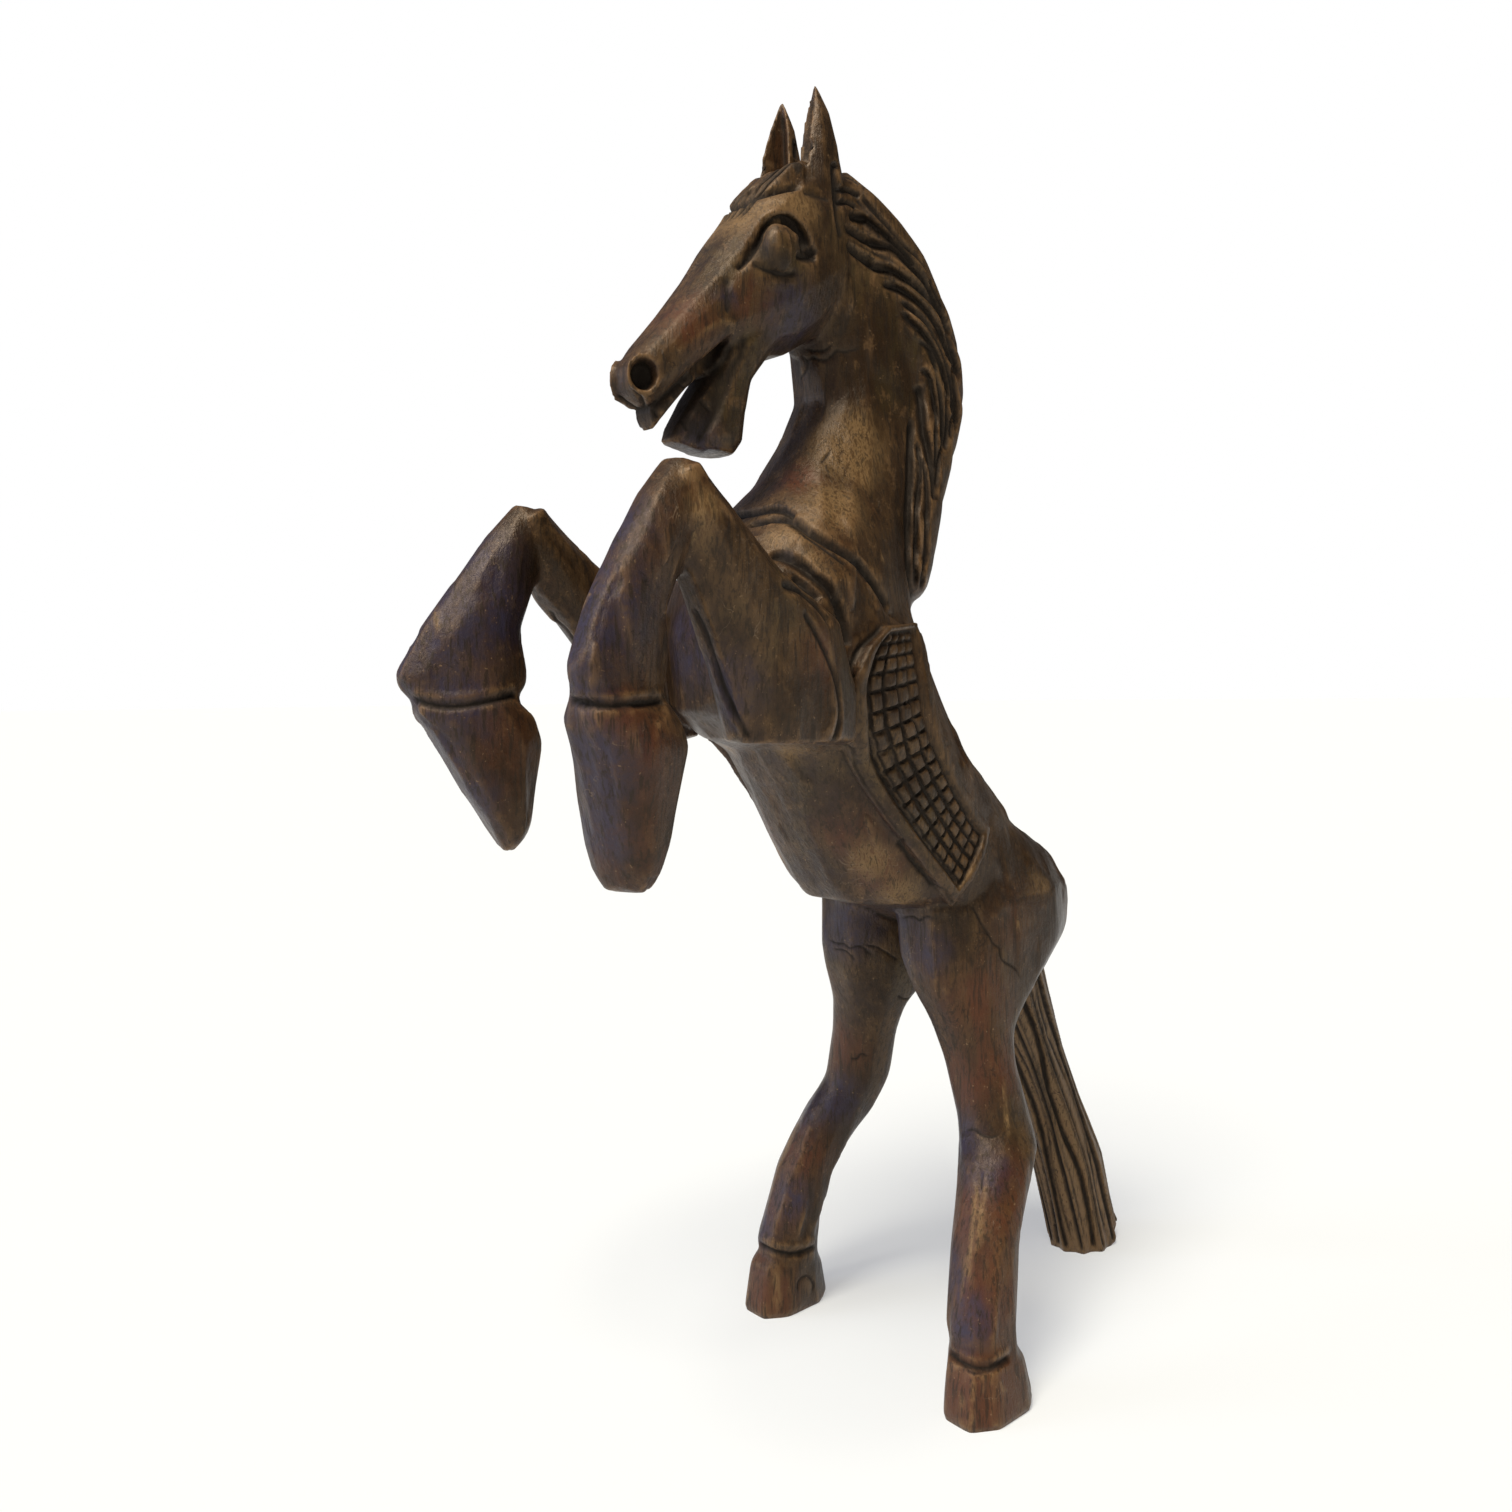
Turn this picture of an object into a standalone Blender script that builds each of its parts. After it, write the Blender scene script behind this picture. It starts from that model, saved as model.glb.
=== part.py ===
# A carved wooden horse that rears on its hind hooves and its tail.
# One block of wood: body, head, mane, legs, tail and saddle blanket are one solid.
# Metres, +Z up, +X the way the horse faces, +Y its left side.
import math

import bmesh
import bpy
from mathutils import Vector
from mathutils.bvhtree import BVHTree

# Driving size
HEIGHT = 1.20          # floor to the tips of the ears

# The outlines below are in units of a 120th of the height, 1 cm at this size.
UNIT = HEIGHT / 120.0
LEAN = 0.012           # how far all of it leans back, as a share of the height above the floor
CRUMB = 0.00001        # edges shorter than this are closed up
ALL_BUT = 0.999        # share of the volume that a good joint keeps at least

# Facets around each form, as the chisel left them
TRUNK_SIDES = 14
TRUNK_SQUARE = 0.9     # 1 is an oval, less is squarer
HEAD_SQUARE = 0.8
JAW_SQUARE = 0.7
TEETH_SQUARE = 0.6
HOOF_SQUARE = 0.8
HEAD_SIDES = 12
LEG_SIDES = 8
EAR_SIDES = 8
TAIL_FLUTES = 11
FLUTE_DEPTH = 0.16     # share of the tail's half width

# Cuts, in units
GROOVE_ABOVE = 0.4             # how far a cutter stands out, as a share of its depth
GROOVE_END = 0.3               # a groove's size at its ends, as a share of the rest
STRAP_GROOVE = (1.0, 0.7)      # width, depth
SHOULDER_RECESS = (2.2, 1.0)
EYE_GROOVE = (1.3, 0.9)
TOOTH_GROOVE = (0.5, 0.4)
NOSTRIL_RADIUS = 1.6
NOSTRIL_NARROW = 0.84  # its width as a share of its height
NOSTRIL_TAPER = 0.7    # its width deep inside as a share of its width at the skin
NOSTRIL_DEPTH = 1.3
NOSTRIL_RIM = 0.3
NOSTRIL_LIFT = 0.2     # how far the rim stands out of the muzzle
NOSTRIL_SIDES = 10

# Saddle blanket, in units
RIM_WIDTH = 1.7
RIM_RISE = 1.0
RIM_SINK = 0.6         # how deep the rim's outer edge stands in the body
RIM_PROFILE = ((0.25, RIM_RISE), (0.8, RIM_RISE), (1.0, -RIM_SINK))  # share of width, rise
FLAP_EASE = 1.5        # reach over which the flap follows the body's facets smoothly
TILE_RISE = 0.65
TILE_GROOVE_RISE = 0.2
TILE_GROOVE = 0.5
TILE_COLUMNS = 4
TILE_ROWS = 16
SEAT_RISE = 0.25
SEAT_SINK = 1.2        # how deep the seat's underside lies in the back

# Ribs of the trunk, poll to rump: throat side (x, z), crest side (x, z), half width,
# and how much wider the throat side is than the crest side
TRUNK = (
    ((9.0, 99.5), (1.0, 110.5), 4.2, 0.0),
    ((8.4, 95.2), (-4.0, 105.5), 4.8, 0.0),
    ((7.8, 91.5), (-7.6, 98.5), 5.2, 0.0),
    ((9.6, 87.5), (-8.8, 91.0), 5.5, 0.1),
    ((12.4, 83.4), (-7.4, 83.0), 6.3, 0.25),
    ((16.2, 79.6), (-5.4, 76.5), 8.0, 0.4),
    ((20.2, 74.5), (-4.0, 71.4), 9.8, 0.35),
    ((21.6, 69.0), (-4.4, 67.3), 10.6, 0.15),
    ((21.0, 63.0), (-6.2, 63.2), 10.6, 0.05),
    ((18.0, 60.3), (-8.0, 60.4), 10.4, 0.0),
    ((14.8, 59.2), (-9.4, 58.2), 10.2, 0.0),
    ((12.0, 55.0), (-12.8, 54.9), 10.0, 0.0),
    ((9.6, 50.5), (-16.4, 51.6), 9.8, 0.0),
    ((7.0, 46.5), (-21.0, 49.2), 10.1, 0.0),
    ((5.4, 44.6), (-24.4, 47.0), 10.2, -0.05),
    ((0.5, 43.8), (-25.3, 42.4), 9.8, 0.0),
    ((-4.0, 42.0), (-23.4, 37.8), 8.4, 0.0),
    ((-8.0, 40.5), (-18.0, 35.8), 6.0, 0.0),
)

# Skull and upper jaw, poll to lip: brow side, jaw side, half width
HEAD = (
    ((3.6, 113.2), (4.6, 101.0), 3.8),
    ((9.8, 113.0), (8.6, 96.6), 5.0),
    ((14.6, 109.4), (12.4, 94.4), 5.5),
    ((18.6, 104.8), (15.4, 93.8), 4.9),
    ((21.6, 100.4), (18.8, 93.6), 3.9),
    ((24.8, 96.4), (22.4, 91.8), 3.2),
    ((27.6, 93.2), (25.2, 89.4), 2.7),
    ((28.9, 91.3), (26.3, 88.7), 2.3),
    ((28.8, 89.4), (26.8, 87.8), 1.7),
)

# Lower jaw, cheek to chin: lip side, throat side, half width
JAW = (
    ((18.4, 96.6), (11.5, 97.4), 4.2),
    ((19.9, 93.6), (14.4, 94.2), 3.6),
    ((20.4, 91.0), (16.4, 91.6), 3.0),
    ((20.9, 88.4), (16.9, 88.6), 2.7),
    ((21.9, 86.3), (17.0, 86.2), 2.5),
    ((21.7, 85.2), (17.8, 85.0), 2.0),
)

# Rows of teeth, mouth corner to lips: biting edge, gum side, half width
UPPER_TEETH = (
    ((18.6, 93.6), (19.8, 95.2), 2.4),
    ((23.2, 90.0), (24.2, 92.0), 2.1),
    ((25.6, 87.2), (26.6, 89.2), 1.7),
    ((26.2, 86.2), (27.2, 88.4), 1.2),
)
LOWER_TEETH = (
    ((19.4, 93.4), (17.8, 93.0), 2.1),
    ((22.4, 89.4), (19.4, 89.4), 1.9),
    ((24.0, 86.9), (20.2, 86.4), 1.7),
    ((24.6, 85.6), (20.6, 84.9), 1.2),
)

# Ear, base to tip: front edge, back edge, half width, distance from the middle
EAR = (
    ((11.4, 107.4), (5.8, 107.0), 1.7, 2.6),
    ((11.3, 111.4), (5.9, 110.4), 2.0, 2.5),
    ((10.8, 114.6), (6.6, 114.0), 1.8, 2.4),
    ((10.0, 117.4), (7.5, 117.2), 1.2, 2.3),
    ((9.1, 120.0), (8.8, 120.0), 0.15, 2.2),
)
EAR_HOLLOW = 0.7       # share of the ear's depth that its cup goes in

# Mane along the crest, poll to withers: neck side, crest side, half width
MANE = (
    ((6.6, 112.4), (3.6, 113.6), 2.2),
    ((6.4, 108.5), (0.6, 111.2), 4.3),
    ((4.8, 104.0), (-4.4, 106.8), 5.2),
    ((3.6, 99.6), (-8.6, 101.4), 5.6),
    ((2.6, 95.5), (-10.6, 96.6), 5.9),
    ((2.0, 91.0), (-10.4, 91.4), 6.1),
    ((2.4, 86.0), (-7.4, 85.2), 6.3),
    ((3.2, 81.0), (-5.0, 79.4), 6.5),
    ((3.6, 76.4), (-3.6, 74.8), 6.5),
    ((1.4, 72.8), (-3.0, 71.9), 4.6),
)
LOCKS = 9
LOCK_WIDTH = 1.0       # half width of a lock's foot
LOCK_RISE = 1.0
LOCK_SINK = 0.8        # how deep its foot stands in the mane
LOCK_SHOULDER = 0.72   # share of its rise where the flat top begins to slope
LOCK_UPPER = 0.9       # share of its width that is left there
LOCK_CREST = 0.3       # share of its width that is flat on top
LOCK_RUN = 0.42        # share of the mane's length that one lock covers
LOCK_STEPS = 6
LOCK_START = 0.02      # share of the mane's length before the first lock
LOCK_END = 0.03        # and after the last
LOCK_ROOT = 72         # degrees round from the throat side where a lock starts
LOCK_TIP = 165         # and where it ends
LOCK_SWELL = (0.2, 0.9)        # part of a half wave that its thickness follows, root to tip
LOCK_SWEEP = 1.1       # over 1, a lock turns back late

# Forelock, from between the ears over the brow: each lock's line (x, z),
# how wide it is and how far from the middle there, as shares of the values below
FORELOCK_LINE = ((8.6, 112.6), (12.2, 111.9), (15.2, 109.2), (18.4, 105.2))
FORELOCK_TAPER = (0.9, 1.0, 0.8, 0.25)
FORELOCK_SPREAD = (0.7, 1.0, 0.9, 0.5)
FORELOCK_OFFSETS = (-2.5, -0.85, 0.85, 2.5)
FORELOCK_WIDTH = 0.8
FORELOCK_RISE = 1.0
FORELOCK_SINK = 0.6

# Forearm, elbow to knee: front edge, back edge, half width, distance from the middle
FOREARM = (
    ((26.2, 60.4), (12.8, 59.9), 3.3, 10.3),
    ((27.2, 63.4), (12.8, 64.4), 3.5, 10.4),
    ((29.2, 67.8), (15.0, 70.2), 3.3, 10.6),
    ((31.2, 72.4), (22.4, 74.2), 3.1, 11.0),
    ((33.4, 77.0), (27.6, 78.6), 3.0, 11.1),
    ((33.2, 80.4), (30.6, 81.6), 2.3, 11.1),
)
RIGHT_FOREARM = (
    ((26.2, 60.4), (12.8, 59.9), 3.3, 10.3),
    ((26.0, 64.0), (12.8, 64.4), 3.4, 10.4),
    ((26.6, 68.8), (15.4, 70.6), 3.1, 10.6),
    ((29.8, 72.2), (22.2, 74.8), 2.9, 11.0),
    ((32.6, 76.2), (27.2, 78.2), 2.9, 11.1),
    ((32.8, 79.4), (30.0, 80.8), 2.4, 11.1),
)

# Cannon, knee to fetlock
CANNON = (
    ((32.8, 81.7), (30.9, 81.3), 1.4, 11.1),
    ((35.4, 78.8), (30.4, 77.8), 2.5, 11.1),
    ((38.0, 74.8), (31.2, 73.8), 2.6, 11.1),
    ((40.4, 70.6), (32.6, 69.8), 2.5, 11.1),
    ((42.3, 66.3), (31.6, 66.2), 2.4, 11.0),
    ((42.1, 65.1), (31.8, 65.0), 2.5, 11.0),
    ((41.4, 63.9), (32.8, 63.9), 2.5, 10.9),
)
RIGHT_CANNON = (
    ((32.4, 80.8), (30.5, 80.4), 1.4, 11.1),
    ((35.0, 78.0), (29.8, 77.0), 2.3, 11.1),
    ((38.0, 74.0), (30.8, 73.2), 2.4, 11.1),
    ((41.0, 70.0), (32.2, 69.4), 2.3, 11.1),
    ((43.2, 66.2), (31.6, 66.2), 2.3, 11.0),
    ((43.0, 65.0), (31.6, 65.0), 2.4, 11.0),
    ((41.8, 63.9), (33.0, 63.9), 2.3, 10.9),
)

# Fore hoof, coronet to toe
FORE_HOOF = (
    ((41.2, 64.1), (33.0, 64.1), 2.5, 10.9),
    ((41.6, 62.8), (31.6, 62.6), 3.4, 10.8),
    ((40.4, 60.2), (31.2, 60.6), 3.8, 10.7),
    ((39.1, 56.6), (32.7, 57.0), 3.6, 10.5),
    ((38.0, 53.4), (33.6, 53.8), 3.3, 10.3),
    ((37.2, 51.2), (34.2, 51.4), 2.7, 10.1),
    ((36.6, 50.1), (34.8, 50.1), 1.9, 10.0),
)
RIGHT_FORE_HOOF = (
    ((41.6, 64.1), (33.0, 64.1), 2.5, 10.9),
    ((41.9, 62.8), (31.4, 62.6), 3.0, 10.8),
    ((39.4, 59.6), (30.6, 60.0), 3.3, 10.6),
    ((37.4, 56.0), (31.4, 56.4), 3.1, 10.3),
    ((35.4, 53.0), (31.8, 53.4), 2.8, 10.1),
    ((34.6, 51.8), (32.4, 52.0), 2.1, 10.0),
    ((34.2, 51.0), (33.4, 51.0), 1.2, 10.0),
)
TOE_OUT = math.radians(18)     # how far the fore cannons and hooves are turned outward

# Hind leg, loin to coronet
HIND_LEG = (
    ((-6.0, 51.0), (-13.8, 51.4), 3.8, 4.6),
    ((-1.6, 47.6), (-19.6, 48.2), 5.2, 4.8),
    ((-0.4, 43.4), (-24.2, 44.0), 6.0, 5.2),
    ((-0.4, 39.6), (-23.5, 39.6), 6.0, 5.4),
    ((-1.6, 35.6), (-18.5, 35.6), 4.9, 6.0),
    ((-3.6, 31.5), (-12.2, 31.5), 4.0, 7.0),
    ((-4.3, 28.5), (-11.5, 28.5), 3.6, 7.8),
    ((-4.3, 23.2), (-12.2, 23.6), 3.4, 9.2),
    ((-2.4, 20.0), (-12.0, 20.8), 3.4, 10.6),
    ((-1.2, 17.2), (-8.6, 17.4), 3.2, 11.5),
    ((0.2, 13.8), (-6.0, 14.0), 3.1, 12.3),
    ((2.2, 7.4), (-4.7, 7.0), 3.0, 13.1),
    ((1.6, 5.0), (-4.8, 4.6), 2.8, 13.3),
)
HIND_HOOF = (
    ((1.6, 6.0), (-4.4, 5.2), 2.5, 13.2),
    ((2.6, 5.0), (-5.4, 3.9), 2.9, 13.5),
    ((3.4, -0.6), (-6.6, -0.6), 3.1, 13.8),
)
RIGHT_HOOF_IN = 0.9    # how much nearer the middle the right hind hoof stands

# Tail, dock to floor
TAIL = (
    ((-11.0, 43.0), (-21.0, 45.0), 4.4),
    ((-15.0, 35.0), (-25.2, 38.2), 4.75),
    ((-19.4, 29.0), (-28.0, 31.2), 4.1),
    ((-23.0, 23.2), (-30.8, 24.8), 3.8),
    ((-26.2, 17.0), (-34.3, 18.0), 3.8),
    ((-29.2, 9.4), (-38.4, 11.0), 3.9),
    ((-32.6, -0.6), (-42.2, -0.6), 3.8),
)

# Saddle blanket's flap, seen from the side: front edge and back edge, top to bottom
FLAP_FRONT = ((8.8, 70.0), (12.0, 67.8), (13.4, 64.6), (12.2, 60.4), (9.2, 56.4),
              (5.9, 52.6), (2.6, 49.0), (-0.2, 46.2), (-2.4, 44.2))
FLAP_BACK = ((3.4, 70.4), (2.4, 68.8), (2.0, 66.2), (1.8, 63.2), (0.9, 60.4),
             (-0.6, 57.7), (-2.4, 55.4), (-4.4, 53.2), (-6.6, 51.2))

# Seat over the back, from one rib of the trunk to another
SEAT_START = 7
SEAT_END = 12
SEAT_FACETS = 5        # of the trunk's facets that it covers
CANTLE_RISE = 1.0
CANTLE_ROWS = 2        # last rows, over which the seat rises to the cantle
SEAT_FALL = 0.85       # share of the rise lost at the seat's side edges

# Grooves of the harness: place among the trunk's ribs, degrees round from the throat side
STRAP_UPPER = ((4.75, 0), (4.85, 24), (5.05, 38), (5.3, 56), (5.65, 73), (6.35, 96), (6.5, 108))
STRAP_LOWER = ((5.4, 0), (5.5, 22), (5.73, 43), (6.0, 56), (6.45, 65), (7.26, 71), (7.8, 73))
RECESS = ((5.8, 26), (5.95, 42), (6.15, 54), (6.45, 64))

# Eye and nostril on the left side
LID = ((19.2, 101.0), (17.8, 103.2), (16.2, 105.0), (14.8, 105.6), (13.2, 104.4), (11.4, 102.4))
EYE = (16.0, 102.5)
EYE_RADII = (1.6, 1.3, 2.3)
EYE_SINK = 0.15        # how far inside the skin the eyeball's centre lies
EYE_FACETS = (10, 6)   # round the eyeball and from top to bottom
NOSTRIL = (28.0, 1.7, 90.4)
NOSTRIL_AIM = (0.42, 0.9)      # forward and outward

# Cuts between the teeth: ends of each line on the left side (x, z)
TOOTH_CUTS = (
    ((24.4, 91.2), (23.4, 90.3)),
    ((26.5, 88.6), (25.6, 87.9)),
    ((22.0, 89.0), (20.9, 88.5)),
    ((23.7, 86.8), (22.6, 86.3)),
)

# Corner of the open mouth, cut in from each side (x, z)
MOUTH = ((19.5, 95.2), (23.5, 91.4), (22.6, 90.6), (20.4, 92.4))
MOUTH_INNER = 1.0      # half the tongue of wood that is left between the cuts
HEAD_WIDEST = 6.0      # no point of the head is further from the middle

RIDGE = math.radians(35)       # facets that meet at less than this are shaded as one round


def units(x, y, z):
    """A place in the outlines' units, in metres, leant back."""
    return Vector((x - LEAN * z, y, z)) * UNIT


def mix(a, b, share):
    """The place a share of the way from a to b, for numbers and rows of numbers."""
    if isinstance(a, tuple):
        return tuple(mix(p, q, share) for p, q in zip(a, b))
    return a + (b - a) * share


def at(table, place):
    """The row of a table at a place between its rows."""
    first = min(int(place), len(table) - 2)
    return mix(table[first], table[first + 1], place - first)


def oval_point(front, back, half_width, y, angle, square=1.0, egg=0.0, turn=0.0, rise=0.0):
    """A point of a rib: angle 0 is its front point, a half turn its back point."""
    start = units(front[0], y, front[1])
    end = units(back[0], y, back[1])
    reach = (start - end) / 2
    reach += reach.normalized() * rise * UNIT
    along = math.copysign(abs(math.cos(angle)) ** square, math.cos(angle))
    across = math.copysign(abs(math.sin(angle)) ** square, math.sin(angle))
    width = (half_width * (1 + egg * along) + rise) * UNIT
    point = reach * along + Vector((0, width * across, 0))
    turned = Vector((point.x * math.cos(turn) - point.y * math.sin(turn),
                     point.x * math.sin(turn) + point.y * math.cos(turn), point.z))
    return (start + end) / 2 + turned


def oval(front, back, half_width, y, sides, **shape):
    """One rib: a faceted oval whose long way runs from its front to its back point."""
    return [oval_point(front, back, half_width, y, 2 * math.pi * (i + 0.5) / sides, **shape)
            for i in range(sides)]


def solid(name, build):
    """A new piece, to be joined or cut away, whose mesh the given function fills."""
    mesh = bmesh.new()
    build(mesh)
    bmesh.ops.recalc_face_normals(mesh, faces=mesh.faces)
    data = bpy.data.meshes.new(name)
    mesh.to_mesh(data)
    mesh.free()
    made = bpy.data.objects.new(name, data)
    made.hide_render = True
    made.display_type = "WIRE"
    cutting.objects.link(made)
    return made


def loft(name, rings):
    """A closed skin over rings of equally many points."""
    def build(mesh):
        rows = [[mesh.verts.new(point) for point in points] for points in rings]
        for row, following in zip(rows, rows[1:]):
            for i, corner in enumerate(row):
                j = (i + 1) % len(row)
                mesh.faces.new((corner, row[j], following[j], following[i]))
        mesh.faces.new(rows[0])
        mesh.faces.new(rows[-1])
    return solid(name, build)


def tree_of(thing):
    """A lookup tree for places on an object's skin."""
    return BVHTree.FromObject(thing, bpy.context.evaluated_depsgraph_get())


def on_side(tree, x, z, side):
    """Where a line across the horse at (x, z) first meets the skin, and the skin's normal."""
    start = units(x, 0, z) + Vector((0, HEIGHT * side, 0))
    place, normal, _, _ = tree.ray_cast(start, Vector((0, -side, 0)))
    return place, normal


def on_trunk(place, degrees):
    """A place on the trunk's ribs and the skin's normal there."""
    front, back, width, egg = at(TRUNK, place)
    angle = math.radians(degrees)
    here = oval_point(front, back, width, 0, angle, square=TRUNK_SQUARE, egg=egg)
    above = oval_point(front, back, width, 0, angle, square=TRUNK_SQUARE, egg=egg, rise=1)
    return here, (above - here).normalized()


def stance(y, side):
    """How far across a place of a hind leg lies; the right hoof stands closer in."""
    hip = HIND_LEG[0][3]
    hoof = HIND_HOOF[-1][3]
    closer = RIGHT_HOOF_IN * (y - hip) / (hoof - hip) if side < 0 else 0
    return side * (y - closer)


def groove(name, line, size):
    """The cutter of a V groove of the given width and depth along places on the skin."""
    width, depth = size
    above = GROOVE_ABOVE * depth
    top_half = width / 2 * (depth + above) / depth
    last = len(line) - 1
    rings = []
    for i, (place, normal) in enumerate(line):
        run = line[min(i + 1, last)][0] - line[max(i - 1, 0)][0]
        sideways = normal.cross(run).normalized()
        full = GROOVE_END if i in (0, last) else 1.0
        top = place + normal * above * UNIT
        wide = sideways * top_half * full * UNIT
        rings.append((top - wide, top + wide, place - normal * depth * full * UNIT))
    return loft(name, rings)


def lock_on_mane(number, side):
    """One lock: it starts beside the neck and sweeps back and down to the crest."""
    start = LOCK_START + (1 - LOCK_START - LOCK_END) * number / LOCKS
    run = min(LOCK_RUN, 1 - LOCK_END - start)
    rings = []
    for step in range(LOCK_STEPS + 1):
        share = step / LOCK_STEPS
        along = start + run * share
        angle = math.radians(mix(LOCK_ROOT, LOCK_TIP, share ** LOCK_SWEEP))
        front, back, width = at(MANE, along * (len(MANE) - 1))
        swell = math.sin(math.pi * mix(*LOCK_SWELL, share))
        foot = oval_point(front, back, width, 0, angle * side, rise=-LOCK_SINK)
        peak = oval_point(front, back, width, 0, angle * side, rise=LOCK_RISE * swell)
        rings.append((foot, peak, swell))
    skin = []
    for i, (foot, peak, swell) in enumerate(rings):
        before = rings[max(i - 1, 0)][1]
        after = rings[min(i + 1, LOCK_STEPS)][1]
        up = (peak - foot).normalized()
        sideways = (after - before).cross(up).normalized() * LOCK_WIDTH * swell * UNIT
        shoulder = foot.lerp(peak, LOCK_SHOULDER)
        wide = sideways * LOCK_UPPER
        crest = sideways * LOCK_CREST
        skin.append((foot - sideways, shoulder - wide, peak - crest,
                     peak + crest, shoulder + wide, foot + sideways))
    return loft("lock", skin)


def forelock(offset):
    """One lock of the forelock, lying over the brow."""
    rings = []
    last = len(FORELOCK_LINE) - 1
    for i, (x, z) in enumerate(FORELOCK_LINE):
        before = Vector(FORELOCK_LINE[max(i - 1, 0)])
        after = Vector(FORELOCK_LINE[min(i + 1, last)])
        run = (after - before).normalized()
        up = Vector((-run.y, 0, run.x))
        middle = units(x, offset * FORELOCK_SPREAD[i], z) - up * FORELOCK_SINK * UNIT
        wide = Vector((0, FORELOCK_WIDTH * FORELOCK_TAPER[i] * UNIT, 0))
        crest = wide * LOCK_CREST
        rise = up * FORELOCK_RISE * FORELOCK_TAPER[i] * UNIT
        rings.append((middle - wide - rise, middle - wide, middle - crest + rise,
                      middle + crest + rise, middle + wide, middle + wide - rise))
    return loft("forelock", rings)


def ear(side):
    """One ear: a pointed blade, cupped toward the front and outward."""
    rings = []
    for front, back, width, y in EAR:
        points = oval(front, back, width, y * side, EAR_SIDES)
        cup = EAR_SIDES - 1 if side > 0 else 0
        points[cup] = points[cup].lerp(points[(cup + EAR_SIDES // 2) % EAR_SIDES], EAR_HOLLOW)
        rings.append(points)
    return loft("ear", rings)


def eyeball(side, tree):
    """The domed eye, half sunk in the side of the head."""
    place, _ = on_side(tree, *EYE, side)
    ball = solid("eye", lambda mesh: bmesh.ops.create_uvsphere(
        mesh, u_segments=EYE_FACETS[0], v_segments=EYE_FACETS[1], radius=UNIT))
    for vertex in ball.data.vertices:
        vertex.co *= Vector(EYE_RADII)
        vertex.co += place - Vector((0, EYE_SINK * side * UNIT, 0))
    return ball


def nostril(name, side, radius, inward, outward):
    """A short oval bar at the nostril that points out of the muzzle, narrower inside."""
    aim = Vector((NOSTRIL_AIM[0], NOSTRIL_AIM[1] * side, 0)).normalized()
    centre = units(NOSTRIL[0], NOSTRIL[1] * side, NOSTRIL[2])
    up = Vector((0, 0, radius * UNIT))
    across = aim.cross(up) * NOSTRIL_NARROW
    rings = []
    for reach, size in ((-inward, NOSTRIL_TAPER), (outward, 1.0)):
        middle = centre + aim * reach * UNIT
        angles = [2 * math.pi * k / NOSTRIL_SIDES for k in range(NOSTRIL_SIDES)]
        rings.append([middle + (across * math.cos(a) + up * math.sin(a)) * size for a in angles])
    return loft(name, rings)


def mouth(side):
    """The cutter that opens the corner of the mouth."""
    return loft("mouth", [[units(x, side * y, z) for x, z in MOUTH]
                          for y in (MOUTH_INNER, HEAD_WIDEST)])


def flap_point(tree, across, down, side, rise):
    """A place of the blanket's flap: across from its front edge, down from its top."""
    last = len(FLAP_FRONT) - 1
    x, z = mix(at(FLAP_FRONT, down * last), at(FLAP_BACK, down * last), across)
    place, normal = on_side(tree, x, z, side)
    for dx, dz in ((1, 0), (-1, 0), (0, 1), (0, -1)):
        _, beside = on_side(tree, x + dx * FLAP_EASE, z + dz * FLAP_EASE, side)
        if beside:
            normal = normal + beside
    return place + normal.normalized() * rise * UNIT


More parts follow.
